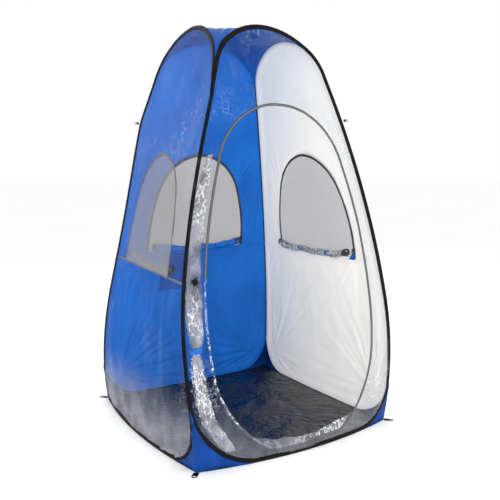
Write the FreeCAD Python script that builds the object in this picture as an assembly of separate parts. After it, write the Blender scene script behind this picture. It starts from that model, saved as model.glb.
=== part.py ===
"""Pop-up pod shelter: four closed spring-steel hoops sewn together along their sides.

Frame: +Z up, origin at the bottom centre, door face towards -Y, millimetres.
Every face is built in the front position (facing -Y) and turned to its side of the pod.
A face lies on one curved surface, and pieces on it are a layer of that surface
(a range of distances from it) cut to an outline drawn in the XZ plane.
"""
import FreeCAD
import Part

import math
import os

from FreeCAD import Vector

# ---- driving dimensions, mm ----
HEIGHT = 1910.0
FAR = 800.0                  # well outside the pod, for cutting blocks
SHORT_OF_AXIS = 80.0         # a cut through the front face stops this far before the pod's axis
WIDEST_HALF = 555.0          # half width where the pod is widest
WIDEST_Z = 320.0
LOW_BOW = 2600.0             # bow of the faces near the ground
HIGH_BOW = 6700.0            # flatter bow above that
BOW_CHANGE_Z = 650.0
SEAM_TOP_Z = 1700.0          # neighbouring hoops part above this height
HOOP_CORNER = 210.0          # radius of the hoops' ground corners
SEAM_GAP = 5.2               # from the corner diagonal to a hoop's edge

SLEEVE_WIDTH = 24.0
SLEEVE_HALF_THICK = 4.0
BAND_WIDTH = 10.0
BAND_HALF_THICK = 0.6
CLOTH_HALF = 0.6
MESH_HALF = 0.4
SEW_GAP = 0.4                # drawn gap between pieces that are sewn together

SILL_Z = 800.0
WINDOW_TOP_Z = 1335.0
WINDOW_SILL_HALF = 322.0
ZIP_TAPE = 16.0
ZIP_HALF_THICK = 1.2
SEAM_TAPE = 16.0

DOOR_TOP_Z = 1558.0
DOOR_SILL_Z = 48.0
DOOR_HALF = 428.0
TOGGLE_X = -428.0

ROLL_RADIUS = 19.0
ROLL_HALF_LENGTH = 285.0
ROLL_IN = 26.0               # roll's centre, inward from the face
ROLL_UP = 24.0               # and above the sill

LOOP_WIDTH = 24.0
LOOP_LENGTH = 46.0
LOOP_THICK = 2.0
PEG_EYE_RADIUS = 7.0
FLOOR_THICK = 1.2

ROOF_Z = 1900.0
ROOF_CLOTH = 0.9
ROOF_GAP = 9.0               # from the sleeves' outer edge to the roof cloth
TIE_OUT_Z = 1497.0

FRONT, RIGHT, BACK, LEFT = 0.0, 90.0, 180.0, 270.0
SIDES = {"front": FRONT, "right": RIGHT, "back": BACK, "left": LEFT}
CORNERS = {"front_left": FRONT, "front_right": RIGHT, "back_right": BACK, "back_left": LEFT}
WINDOW_SIDES = {name: turn for name, turn in SIDES.items() if name != "front"}

LOW_CENTRE = Vector(0.0, -(WIDEST_HALF - LOW_BOW), WIDEST_Z)
CHANGE_ANGLE = math.asin((BOW_CHANGE_Z - WIDEST_Z) / LOW_BOW)
HIGH_CENTRE = LOW_CENTRE + Vector(0.0, math.cos(CHANGE_ANGLE), -math.sin(CHANGE_ANGLE)) * (HIGH_BOW - LOW_BOW)


def surface_angle(z):
    """Lean of the face at height z, in radians from the vertical."""
    if z <= BOW_CHANGE_Z:
        return math.asin((z - WIDEST_Z) / LOW_BOW)
    return math.asin(math.sin(CHANGE_ANGLE) + (z - BOW_CHANGE_Z) / HIGH_BOW)


def surface_point(angle, out):
    """Point of the front face's middle line at a lean, moved outwards by out."""
    if angle <= CHANGE_ANGLE:
        centre, radius = LOW_CENTRE, LOW_BOW
    else:
        centre, radius = HIGH_CENTRE, HIGH_BOW
    return centre + Vector(0.0, -math.cos(angle), math.sin(angle)) * (radius + out)


def on_face(x, z, out):
    """Point of the front face at (x, z), moved outwards along the face's normal by out."""
    return surface_point(surface_angle(z), out) + Vector(x, 0.0, 0.0)


def half_width(z):
    """Half width of the pod at height z."""
    return -surface_point(surface_angle(z), 0.0).y


def arc(start, middle, end):
    return Part.Arc(start, middle, end).toShape()


def line(start, end):
    return Part.LineSegment(start, end).toShape()


def layer(low, high):
    """The front face's surface from low to high outwards, much wider than the pod."""
    first = surface_angle(-60.0)
    last = surface_angle(HEIGHT + 60.0)
    angles = [first, (first + CHANGE_ANGLE) / 2.0, CHANGE_ANGLE, (CHANGE_ANGLE + last) / 2.0, last]
    outer = [surface_point(angle, high) for angle in angles]
    inner = [surface_point(angle, low) for angle in angles]
    edges = [
        arc(outer[0], outer[1], outer[2]),
        arc(outer[2], outer[3], outer[4]),
        line(outer[4], inner[4]),
        arc(inner[4], inner[3], inner[2]),
        arc(inner[2], inner[1], inner[0]),
        line(inner[0], outer[0]),
    ]
    section = Part.Face(Part.Wire(edges))
    section.translate(Vector(-FAR, 0.0, 0.0))
    return section.extrude(Vector(2.0 * FAR, 0.0, 0.0))


def xz(x, z):
    return Vector(x, 0.0, z)


def hoop_outline():
    """Outer edge of a hoop's sleeve: bowed sides, round ground corners and an arched top."""
    corner_z = HOOP_CORNER
    side_low = half_width(corner_z) - SEAM_GAP
    side_mid_z = (corner_z + BOW_CHANGE_Z) / 2.0
    side_mid = half_width(side_mid_z) - SEAM_GAP
    side_change = half_width(BOW_CHANGE_Z) - SEAM_GAP
    upper_mid_z = (BOW_CHANGE_Z + SEAM_TOP_Z) / 2.0
    upper_mid = half_width(upper_mid_z) - SEAM_GAP
    seam_top = half_width(SEAM_TOP_Z) - SEAM_GAP
    corner_centre = side_low - HOOP_CORNER
    diagonal = HOOP_CORNER * math.sqrt(0.5)
    shoulder_x, shoulder_z = 205.0, HEIGHT - 66.0
    neck_x, neck_z = 271.0, HEIGHT - 124.0
    edges = []
    for side in (1.0, -1.0):
        foot = xz(side * corner_centre, 0.0)
        low = xz(side * side_low, corner_z)
        change = xz(side * side_change, BOW_CHANGE_Z)
        top = xz(side * seam_top, SEAM_TOP_Z)
        shoulder = xz(side * shoulder_x, shoulder_z)
        pieces = [
            arc(foot, xz(side * (corner_centre + diagonal), corner_z - diagonal), low),
            arc(low, xz(side * side_mid, side_mid_z), change),
            arc(change, xz(side * upper_mid, upper_mid_z), top),
            arc(top, xz(side * neck_x, neck_z), shoulder),
        ]
        edges.extend(pieces)
    edges.append(arc(xz(shoulder_x, shoulder_z), xz(0.0, HEIGHT), xz(-shoulder_x, shoulder_z)))
    edges.append(line(xz(corner_centre, 0.0), xz(-corner_centre, 0.0)))
    return Part.Wire(Part.__sortEdges__(edges))


def window_outline():
    """Middle line of a window's zip, closed along the sill."""
    shoulder = xz(250.0, 1165.0)
    edges = []
    for side in (1.0, -1.0):
        sill = xz(side * WINDOW_SILL_HALF, SILL_Z)
        mirrored = xz(side * shoulder.x, shoulder.z)
        edges.append(arc(sill, xz(side * 304.0, 1000.0), mirrored))
        edges.append(arc(mirrored, xz(side * 158.0, 1278.0), xz(0.0, WINDOW_TOP_Z)))
    edges.append(line(xz(WINDOW_SILL_HALF, SILL_Z), xz(-WINDOW_SILL_HALF, SILL_Z)))
    return Part.Wire(Part.__sortEdges__(edges))


def door_outline():
    """Middle line of the door's zip: a tall arch with round lower corners."""
    waist_z = 430.0
    shoulder = (325.0, 1290.0)
    edges = []
    for side in (1.0, -1.0):
        foot = xz(side * 190.0, DOOR_SILL_Z)
        waist = xz(side * DOOR_HALF, waist_z)
        top = xz(side * shoulder[0], shoulder[1])
        edges.append(arc(foot, xz(side * 352.0, 190.0), waist))
        edges.append(arc(waist, xz(side * 408.0, 880.0), top))
        edges.append(arc(top, xz(side * 218.0, 1478.0), xz(0.0, DOOR_TOP_Z)))
    edges.append(line(xz(190.0, DOOR_SILL_Z), xz(-190.0, DOOR_SILL_Z)))
    return Part.Wire(Part.__sortEdges__(edges))


def prism(wire, grow=0.0):
    """The wire, grown or shrunk in its plane, extruded through the front face."""
    if grow:
        wire = wire.makeOffset2D(grow, 0, False, False, True)
    face = Part.Face(wire)
    face.translate(Vector(0.0, -FAR, 0.0))
    return face.extrude(Vector(0.0, FAR - SHORT_OF_AXIS, 0.0))


def ring(wire, outer, inner):
    return prism(wire, outer).cut(prism(wire, inner))


def block(x_low, x_high, z_low, z_high):
    """Everything between two widths and two heights."""
    return Part.makeBox(x_high - x_low, 2.0 * FAR, z_high - z_low, Vector(x_low, -FAR, z_low))


def slab(z_low, z_high):
    """Everything between two heights."""
    return block(-FAR, FAR, z_low, z_high)


def on_side(shape, turn):
    """The front-facing shape turned to its side of the pod."""
    turned = shape.copy()
    turned.rotate(Vector(0.0, 0.0, 0.0), Vector(0.0, 0.0, 1.0), turn)
    return turned


def save(name, shape):
    """Write one node: its solid, or a group of separate solids."""
    solids = shape.Solids
    if not solids:
        raise ValueError(name + " has no solid")
    body = solids[0] if len(solids) == 1 else Part.makeCompound(solids)
    body.exportStep("parts/" + name + ".step")


def make_hoops(hoop):
    """Steel bands, the crimped tubes that close them, and the fabric sleeves around them."""
    middle = SLEEVE_WIDTH / 2.0
    band_edge = BAND_WIDTH / 2.0
    band = layer(-BAND_HALF_THICK, BAND_HALF_THICK)
    band = band.common(ring(hoop, band_edge - middle, -band_edge - middle))
    room = layer(-2.7, 2.7).common(ring(hoop, -3.5, 3.5 - SLEEVE_WIDTH))
    sleeve = layer(-SLEEVE_HALF_THICK, SLEEVE_HALF_THICK)
    sleeve = sleeve.common(ring(hoop, 0.0, -SLEEVE_WIDTH)).cut(room)
    tube_wall = layer(-2.0, 2.0).common(ring(hoop, 6.6 - middle, -6.6 - middle))
    tube_bore = layer(-0.8, 0.8).common(ring(hoop, 5.2 - middle, -5.2 - middle))
    half_tube = 30.0
    tube = tube_wall.cut(tube_bore).common(block(-half_tube, half_tube, -1.0, SLEEVE_WIDTH))
    tubes = []
    for name, turn in SIDES.items():
        save("hoop_" + name, on_side(band, turn))
        save("sleeve_" + name, on_side(sleeve, turn))
        tubes.append(on_side(tube, turn))
    save("hoop_ferrules", Part.makeCompound(tubes))


def make_front_panel(hoop, door):
    """Clear front panel, its door zip and the clear strip across the threshold."""
    cloth = layer(-CLOTH_HALF, CLOTH_HALF)
    inside_sleeve = prism(hoop, -SLEEVE_WIDTH - SEW_GAP)
    tape = ZIP_TAPE / 2.0
    threshold_top = 128.0
    panel = cloth.common(inside_sleeve).cut(prism(door, tape + SEW_GAP))
    save("panel_front", panel)
    zip_ring = layer(-ZIP_HALF_THICK, ZIP_HALF_THICK).common(ring(door, tape, -tape))
    save("door_zip", zip_ring)
    strip = layer(-CLOTH_HALF, CLOTH_HALF).common(prism(door, -tape - SEW_GAP))
    strip = strip.common(slab(0.0, threshold_top))
    save("door_threshold", strip)


def make_window_faces(hoop, window):
    """Upper and lower panels, the seam tape between them, mesh and window zip."""
    tape = ZIP_TAPE / 2.0
    seam = SEAM_TAPE / 2.0
    cloth = layer(-CLOTH_HALF, CLOTH_HALF)
    inside_sleeve = prism(hoop, -SLEEVE_WIDTH - SEW_GAP)
    face = cloth.common(inside_sleeve)
    upper = face.common(slab(SILL_Z + seam + SEW_GAP, HEIGHT)).cut(prism(window, tape + SEW_GAP))
    lower = face.common(slab(0.0, SILL_Z - seam - SEW_GAP))
    seam_tape = layer(-ZIP_HALF_THICK, ZIP_HALF_THICK).common(inside_sleeve)
    seam_tape = seam_tape.common(slab(SILL_Z - seam, SILL_Z + seam))
    above_sill = slab(SILL_Z + seam + SEW_GAP, HEIGHT)
    zip_arch = layer(-ZIP_HALF_THICK, ZIP_HALF_THICK).common(ring(window, tape, -tape)).common(above_sill)
    mesh = layer(-MESH_HALF, MESH_HALF).common(prism(window, -tape - SEW_GAP)).common(above_sill)
    for name, turn in WINDOW_SIDES.items():
        save("panel_" + name + "_upper", on_side(upper, turn))
        save("panel_" + name + "_lower", on_side(lower, turn))
        save("seam_tape_" + name, on_side(seam_tape, turn))
        save("window_zip_" + name, on_side(zip_arch, turn))
        save("window_mesh_" + name, on_side(mesh, turn))


def capsule(start, end, radius):
    """Round bar with domed ends."""
    run = end - start
    bar = Part.makeCylinder(radius, run.Length, start, run)
    return bar.fuse([Part.makeSphere(radius, start), Part.makeSphere(radius, end)]).removeSplitter()


def tie_band(x, centre, radius):
    """Narrow strap around a rolled flap."""
    start = Vector(x - 7.0, centre.y, centre.z)
    along = Vector(1.0, 0.0, 0.0)
    outer = Part.makeCylinder(radius + 2.0, 14.0, start, along)
    inner = Part.makeCylinder(radius + SEW_GAP, 14.0, start, along)
    return outer.cut(inner)


def make_window_rolls():
    """The rolled-down flap at each sill, with two ties on the back and right ones."""
    centre = on_face(0.0, SILL_Z + ROLL_UP, -ROLL_IN)
    reach = Vector(ROLL_HALF_LENGTH - ROLL_RADIUS, 0.0, 0.0)
    roll = capsule(centre - reach, centre + reach, ROLL_RADIUS)
    ties = Part.makeCompound([tie_band(x, centre, ROLL_RADIUS) for x in (-120.0, 110.0)])
    for name, turn in WINDOW_SIDES.items():
        save("window_flap_" + name, on_side(roll, turn))
    for name in ("back", "right"):
        save("window_ties_" + name, on_side(ties, SIDES[name]))


def slider_parts(x, z):
    """A zip slider on the inner side of the front face, and its pull hanging below the pivot."""
    low_gap, body_thick = 0.7, 5.0
    body = layer(-ZIP_HALF_THICK - low_gap - body_thick, -ZIP_HALF_THICK - low_gap)
    body = body.common(block(x - 6.0, x + 6.0, z - 7.5, z + 7.5))
    pivot = on_face(x, z, -ZIP_HALF_THICK - low_gap - body_thick - 2.6)
    pin = Part.makeCylinder(1.0, 12.0, pivot - Vector(6.0, 0.0, 0.0), Vector(1.0, 0.0, 0.0))
    for edge in (-6.0, 4.0):
        lug = Part.makeBox(2.0, 5.4, 4.4, pivot + Vector(edge, -4.0, -2.2))
        body = body.fuse(lug)
    body = body.fuse(pin).removeSplitter()
    eye = Part.makeCylinder(2.2, 5.0, pivot - Vector(2.5, 0.0, 0.0), Vector(1.0, 0.0, 0.0))
    tab = Part.makeBox(5.0, 1.6, 32.0, pivot + Vector(-2.5, 0.6, -33.5))
    pull = eye.fuse(tab).cut(Part.makeCylinder(1.05, 6.0, pivot - Vector(3.0, 0.0, 0.0), Vector(1.0, 0.0, 0.0)))
    return body, pull.removeSplitter()


def make_sliders():
    """Window sliders low on the straight side of each zip, and the door's slider."""
    body, pull = slider_parts(-WINDOW_SILL_HALF + 3.0, SILL_Z + 45.0)
    for name, turn in WINDOW_SIDES.items():
        save("window_slider_" + name, on_side(body, turn))
        save("window_pull_" + name, on_side(pull, turn))
    body, pull = slider_parts(-DOOR_HALF + 17.0, 840.0)
    save("door_slider", body)
    save("door_pull", pull)


def flap_outline(grow):
    """Outline of the gathered door flap beside the door's left edge."""
    right = [(-424.0, 66.0), (-438.0, 500.0), (-424.0, 850.0), (-340.0, 1330.0)]
    left = [(-506.0, 90.0), (-508.0, 500.0), (-480.0, 880.0), (-362.0, 1338.0)]
    inner = [xz(x + grow, z) for x, z in right]
    outer = [xz(x - grow, z) for x, z in left]
    edges = [
        arc(inner[0], (inner[0] + inner[1]) * 0.5 + Vector(-5.0, 0.0, 0.0), inner[1]),
        arc(inner[1], inner[2], inner[3]),
        line(inner[3], outer[3]),
        arc(outer[3], outer[2], outer[1]),
        line(outer[1], outer[0]),
        line(outer[0], inner[0]),
    ]
    return Part.Wire(edges)


def make_door_flap():
    """Gathered door flap, its tie strap and toggle, and the square patch on it."""
    flap_in, flap_out = -48.0, -14.0
    flap = layer(flap_in, flap_out).common(prism(flap_outline(0.0)))
    strap_low, strap_high = 505.0, 529.0
    shell = layer(flap_in - 2.5, flap_out + 2.5).common(prism(flap_outline(2.5)))
    hollow = layer(flap_in - SEW_GAP, flap_out + SEW_GAP).common(prism(flap_outline(SEW_GAP)))
    strap = shell.cut(hollow).common(slab(strap_low, strap_high))
    save("door_flap", flap)
    save("door_tie_strap", strap)
    patch = layer(flap_out + SEW_GAP, flap_out + 2.4)
    patch = patch.common(block(-468.0, -442.0, 790.0, 816.0))
    save("door_patch", patch)
    toggle_start = on_face(TOGGLE_X, (strap_low + strap_high) / 2.0, (flap_in + flap_out) / 2.0)
    toggle = capsule(toggle_start, toggle_start + Vector(20.0, 0.0, 0.0), 4.5)
    save("door_toggle", toggle)


def arch_half(outline, z):
    """Half width of the hoops' arch at height z, on the sleeve's outer edge."""
    inside = Part.Face(outline).common(line(xz(0.0, z), xz(WIDEST_HALF, z)))
    return inside.BoundBox.XMax


def roof_corner(hoop):
    """One sloping roof patch, ruled between two neighbouring arches."""
    steps = [SEAM_TOP_Z + 14.0, 1760.0, 1800.0, 1835.0, 1862.0, 1884.0, ROOF_Z]
    into_cloth = Vector(ROOF_CLOTH, ROOF_CLOTH, -ROOF_CLOTH)
    sections = []
    for z in steps:
        across = arch_half(hoop, z) + ROOF_GAP
        along = half_width(z)
        first = Vector(-across, -along, z)
        second = Vector(-along, -across, z)
        sections.append(Part.makePolygon([first, second, second + into_cloth, first + into_cloth, first]))
    return Part.makeLoft(sections, True, True)


def make_roof(hoop):
    """Roof cap: four sloping patches and the flat square between the arches' tops."""
    across = arch_half(hoop, ROOF_Z) + ROOF_GAP
    along = half_width(ROOF_Z)
    corner = roof_corner(hoop)
    square_edge = along - SLEEVE_HALF_THICK - 2.0
    square = Part.makeBox(2.0 * square_edge, 2.0 * square_edge, ROOF_CLOTH,
                          Vector(-square_edge, -square_edge, ROOF_Z - ROOF_CLOTH))
    reach = (across + along) / math.sqrt(2.0)
    diamond = Part.makeBox(2.0 * reach, 2.0 * reach, ROOF_CLOTH,
                           Vector(-reach, -reach, ROOF_Z - ROOF_CLOTH))
    diamond.rotate(Vector(0.0, 0.0, 0.0), Vector(0.0, 0.0, 1.0), 45.0)
    corners = [on_side(corner, turn) for turn in SIDES.values()]
    save("roof_cap", square.common(diamond).fuse(corners).removeSplitter())


def quarter_wedge():
    """The part of the front-left corner that lies on the front face's side of the diagonal."""
    corner = [Vector(0.0, 0.0, 0.0), Vector(-FAR, -FAR, 0.0), Vector(0.0, -FAR, 0.0)]
    return Part.Face(Part.makePolygon(corner + [corner[0]])).extrude(Vector(0.0, 0.0, HEIGHT))


def make_gussets(hoop):
    """Folded corner pieces from the hoops' round ground corners out to the ground tips."""
    skin = layer(-CLOTH_HALF, CLOTH_HALF).cut(prism(hoop, SEW_GAP))
    skin = skin.common(quarter_wedge()).common(slab(0.0, HOOP_CORNER - 10.0))
    beside = skin.mirror(Vector(0.0, 0.0, 0.0), Vector(1.0, -1.0, 0.0))
    gusset = skin.fuse(beside).removeSplitter()
    for name, turn in CORNERS.items():
        save("gusset_" + name, on_side(gusset, turn))


def make_floor():
    """Woven tarpaulin floor inside the four hoops."""
    half = half_width(0.0) - SLEEVE_HALF_THICK - 3.0
    floor = Part.makeBox(2.0 * half, 2.0 * half, FLOOR_THICK, Vector(-half, -half, 0.0))
    save("floor_sheet", floor)


def webbing_loop(length, width, thick, eye_radius):
    """Flat webbing loop along -X from the origin, with a round end and an eye in it."""
    round_end = width / 2.0
    root = Part.makeBox(length - round_end, width, thick, Vector(-(length - round_end), -round_end, 0.0))
    end = Part.makeCylinder(round_end, thick, Vector(-(length - round_end), 0.0, 0.0))
    eye = Part.makeCylinder(eye_radius, 3.0 * thick, Vector(-(length - round_end), 0.0, -thick))
    return root.fuse(end).removeSplitter().cut(eye)


def make_loops():
    """Peg loops at the ground tips and small tie-out loops high on the corner seams."""
    tip = half_width(0.0) + CLOTH_HALF + 2.0
    peg_loop = webbing_loop(LOOP_LENGTH, LOOP_WIDTH, LOOP_THICK, PEG_EYE_RADIUS)
    peg_loop.rotate(Vector(0.0, 0.0, 0.0), Vector(0.0, 0.0, 1.0), 45.0)
    peg_loop.translate(Vector(-tip, -tip, 0.0))
    seam = half_width(TIE_OUT_Z) + SLEEVE_HALF_THICK
    tie_out = webbing_loop(20.0, 12.0, LOOP_THICK, 3.0)
    tie_out.rotate(Vector(0.0, 0.0, 0.0), Vector(1.0, 0.0, 0.0), 90.0)
    tie_out.translate(Vector(0.0, LOOP_THICK / 2.0, 0.0))
    tie_out.rotate(Vector(0.0, 0.0, 0.0), Vector(0.0, 0.0, 1.0), 45.0)
    tie_out.translate(Vector(-seam, -seam, TIE_OUT_Z))
    for name, turn in CORNERS.items():
        save("peg_loop_" + name, on_side(peg_loop, turn))
        save("tie_out_" + name, on_side(tie_out, turn))


def make_patches(window):
    """Corner reinforcements of the right window and the pocket patch on the back panel."""
    inner = ZIP_TAPE / 2.0 + 2.0 * SEW_GAP
    low = SILL_Z + SEAM_TAPE / 2.0 + 2.0 * SEW_GAP
    high = low + 26.0
    blank = layer(-2.4, -1.6).common(prism(window, -inner)).common(slab(low, high))
    corners = []
    for side in (1.0, -1.0):
        edge = WINDOW_SILL_HALF - inner
        triangle = [xz(side * edge, low - 1.0), xz(side * (edge - 30.0), low - 1.0), xz(side * edge, high)]
        wedge = prism(Part.makePolygon(triangle + [triangle[0]]))
        corners.append(blank.common(wedge))
    save("window_corners_right", on_side(Part.makeCompound(corners), SIDES["right"]))
    pocket = layer(-CLOTH_HALF - 1.2, -CLOTH_HALF - 0.3)
    pocket = pocket.common(block(40.0, 230.0, 570.0, 780.0))
    save("pocket_back", on_side(pocket, SIDES["back"]))


def main():
    os.makedirs("parts", exist_ok=True)
    hoop = hoop_outline()
    window = window_outline()
    door = door_outline()
    make_hoops(hoop)
    make_front_panel(hoop, door)
    make_window_faces(hoop, window)
    make_window_rolls()
    make_sliders()
    make_door_flap()
    make_roof(hoop)
    make_gussets(hoop)
    make_floor()
    make_loops()
    make_patches(window)


main()
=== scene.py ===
"""Pop-up pod shelter with clear front and left faces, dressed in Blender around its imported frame.

Lengths are metres. Every face is worked out in the front position, as a width x, a height z and a
distance out from the nominal face, and is then turned to its side of the pod. A last step moves the
points of all pieces alike: the soft hoops lean a little at two corners and bow out near the ground.
"""
import logging
import math
from dataclasses import dataclass
from enum import Enum
from typing import Optional, Sequence, Union

import bmesh
import bpy
import numpy as np
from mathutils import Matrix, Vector


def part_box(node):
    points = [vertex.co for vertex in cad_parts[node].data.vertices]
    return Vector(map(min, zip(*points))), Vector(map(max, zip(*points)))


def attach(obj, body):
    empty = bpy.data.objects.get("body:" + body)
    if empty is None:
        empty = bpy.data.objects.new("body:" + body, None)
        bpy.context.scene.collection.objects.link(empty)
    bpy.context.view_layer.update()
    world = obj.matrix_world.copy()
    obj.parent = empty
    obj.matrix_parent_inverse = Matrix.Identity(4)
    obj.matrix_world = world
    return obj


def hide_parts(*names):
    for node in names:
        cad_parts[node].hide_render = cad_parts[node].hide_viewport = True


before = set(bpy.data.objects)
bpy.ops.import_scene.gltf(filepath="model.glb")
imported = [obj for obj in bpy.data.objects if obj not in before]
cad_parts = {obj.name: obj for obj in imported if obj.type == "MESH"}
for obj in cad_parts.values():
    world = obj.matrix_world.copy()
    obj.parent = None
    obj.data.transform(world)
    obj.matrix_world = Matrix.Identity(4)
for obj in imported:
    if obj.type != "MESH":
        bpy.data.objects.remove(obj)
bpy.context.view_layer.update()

LOG = logging.getLogger("pod_shelter")
Array = np.ndarray
MM = 0.001


class Side(Enum):
    """The four faces of the pod, each with the turn that brings the front face to it."""

    FRONT = 0
    RIGHT = 90
    BACK = 180
    LEFT = 270

    @property
    def word(self) -> str:
        """The side's name as the frame's nodes have it."""
        return self.name.lower()


WINDOW_SIDES = (Side.LEFT, Side.BACK, Side.RIGHT)
CORNERS = {
    "front_left": Side.FRONT,
    "front_right": Side.RIGHT,
    "back_right": Side.BACK,
    "back_left": Side.LEFT,
}


def smooth(value: Array, low: float, high: float) -> Array:
    """Smooth step: 3t^2 - 2t^3 of the share t of the way from low to high.

    Args:
        value: Numbers to compare.
        low: Where the step is 0.
        high: Where the step is 1.

    Returns:
        The step, from 0 to 1.
    """
    share = np.clip((value - low) / (high - low), 0.0, 1.0)
    return share * share * (3.0 - 2.0 * share)


def noise(x: Array, z: Array, size: Union[float, tuple], seed: int) -> Array:
    """Smooth value noise: random heights on a lattice, blended by the smooth step in both ways.

    Args:
        x: First coordinate.
        z: Second coordinate.
        size: Lattice pitch, one number or one for each coordinate.
        seed: Seed of the random heights.

    Returns:
        Heights from -1 to 1, in the shape of x.
    """
    pitch = size if isinstance(size, tuple) else (size, size)
    table = np.random.default_rng(seed).uniform(-1.0, 1.0, (64, 64))
    gx, gz = np.asarray(x) / pitch[0] + 16.0, np.asarray(z) / pitch[1] + 16.0
    ix, iz = np.floor(gx).astype(int), np.floor(gz).astype(int)
    fx, fz = smooth(gx - ix, 0.0, 1.0), smooth(gz - iz, 0.0, 1.0)
    ix, iz, jx, jz = ix % 64, iz % 64, (ix + 1) % 64, (iz + 1) % 64
    low = table[ix, iz] * (1.0 - fx) + table[jx, iz] * fx
    high = table[ix, jz] * (1.0 - fx) + table[jx, jz] * fx
    return low * (1.0 - fz) + high * fz


def pleats(x: Array, z: Array, lean: float, length: float, width: float, seed: int) -> Array:
    """Long narrow folds: value noise that is stretched along a direction in the face.

    Args:
        x: Width coordinate.
        z: Height coordinate.
        lean: Direction of the folds, in degrees from level.
        length: Pitch along the folds.
        width: Pitch across them.
        seed: Seed of the noise.

    Returns:
        Heights from -1 to 1.
    """
    turn = math.radians(lean)
    along = x * math.cos(turn) + z * math.sin(turn)
    across = z * math.cos(turn) - x * math.sin(turn)
    return noise(along, across, (length, width), seed)


def fan(x: Array, z: Array, root: tuple, count: float, reach: float, seed: int) -> Array:
    """Tension creases that spread from a point: noise of the direction, fading with distance.

    Args:
        x: Width coordinate.
        z: Height coordinate.
        root: Point (x, z) that the creases leave.
        count: Creases in a full turn.
        reach: Distance at which they have faded to a third.
        seed: Seed of the noise.

    Returns:
        Heights from -1 to 1.
    """
    dx, dz = x - root[0], z - root[1]
    distance = np.hypot(dx, dz)
    direction = np.arctan2(dz, dx) / (2.0 * math.pi) * count
    rise = smooth(distance, 0.0, 0.06)
    return noise(direction + 40.0, distance / reach, (0.5, 0.7), seed) * rise * np.exp(-distance / reach)


def lengths(curve: Array) -> Array:
    """Running length along the points of a curve, from 0."""
    steps = np.linalg.norm(np.diff(curve, axis=0), axis=1)
    return np.concatenate([[0.0], np.cumsum(steps)])


def resample(curve: Array, count: int) -> Array:
    """The curve with count points at even steps of its own length.

    Args:
        curve: Points of the curve, in order.
        count: How many points to return.

    Returns:
        An array of count points.
    """
    run = lengths(curve)
    wanted = np.linspace(0.0, 1.0, count) * run[-1]
    return np.stack([np.interp(wanted, run, curve[:, k]) for k in range(curve.shape[1])], axis=1)


def arc(start: Sequence[float], middle: Sequence[float], end: Sequence[float], count: int = 33) -> Array:
    """Points of the circular arc through three points.

    The centre is where the perpendicular bisectors meet, and the angle runs evenly from the
    start, through the middle, to the end.

    Args:
        start: First point (x, z).
        middle: A point on the arc.
        end: Last point.
        count: How many points to return.

    Returns:
        An array of count points (x, z).
    """
    a, b, c = (np.asarray(p, float) for p in (start, middle, end))
    lhs = 2.0 * np.array([b - a, c - b])
    centre = np.linalg.solve(lhs, np.array([b @ b - a @ a, c @ c - b @ b]))
    angles = np.unwrap([math.atan2(*(p - centre)[::-1]) for p in (a, b, c)])
    sweep = np.linspace(angles[0], angles[2], count)
    radius = np.linalg.norm(a - centre)
    return centre + radius * np.stack([np.cos(sweep), np.sin(sweep)], axis=1)


def mirrored(curve: Array) -> Array:
    """The curve of the left half, continued backwards through the right half."""
    return np.concatenate([curve, (curve * (-1.0, 1.0))[::-1][1:]])


def joined(pieces: Sequence[Array]) -> Array:
    """Curves that meet end to end, as one curve without the doubled points."""
    return np.concatenate([pieces[0]] + [piece[1:] for piece in pieces[1:]])


def inset(curve: Array, distance: float, closed: bool) -> Array:
    """The curve moved to its right-hand side, as seen along it.

    Args:
        curve: Points (x, z), clockwise for a move towards the inside.
        distance: How far to move, or a negative number for outwards.
        closed: Whether the last point meets the first.

    Returns:
        The moved points.
    """
    if closed:
        ends = np.concatenate([curve[-2:-1], curve, curve[1:2]])
        along = ends[2:] - ends[:-2]
    else:
        along = np.gradient(curve, axis=0)
    along = along / np.linalg.norm(along, axis=1, keepdims=True)
    return curve + distance * np.stack([along[:, 1], -along[:, 0]], axis=1)


@dataclass(frozen=True)
class Lean:
    """How far one corner of the pod leans out of its nominal place, by height.

    Attributes:
        corner: Signs of x and y at the corner.
        shift: How far the corner moves at the height of the peak.
        foot: Share of the shift at the ground.
        peak: Height of the largest shift.
        end: Height at which the shift is over.
    """

    corner: tuple
    shift: tuple
    foot: float
    peak: float
    end: float

    def share(self, z: Array) -> Array:
        """A smooth step up to the peak, then a quarter sine wave down to the end."""
        rise = self.foot + (1.0 - self.foot) * smooth(z, 0.0, self.peak)
        fall = np.sin(0.5 * math.pi * np.clip((self.end - z) / (self.end - self.peak), 0.0, 1.0))
        return np.where(z < self.peak, rise, fall)


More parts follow.
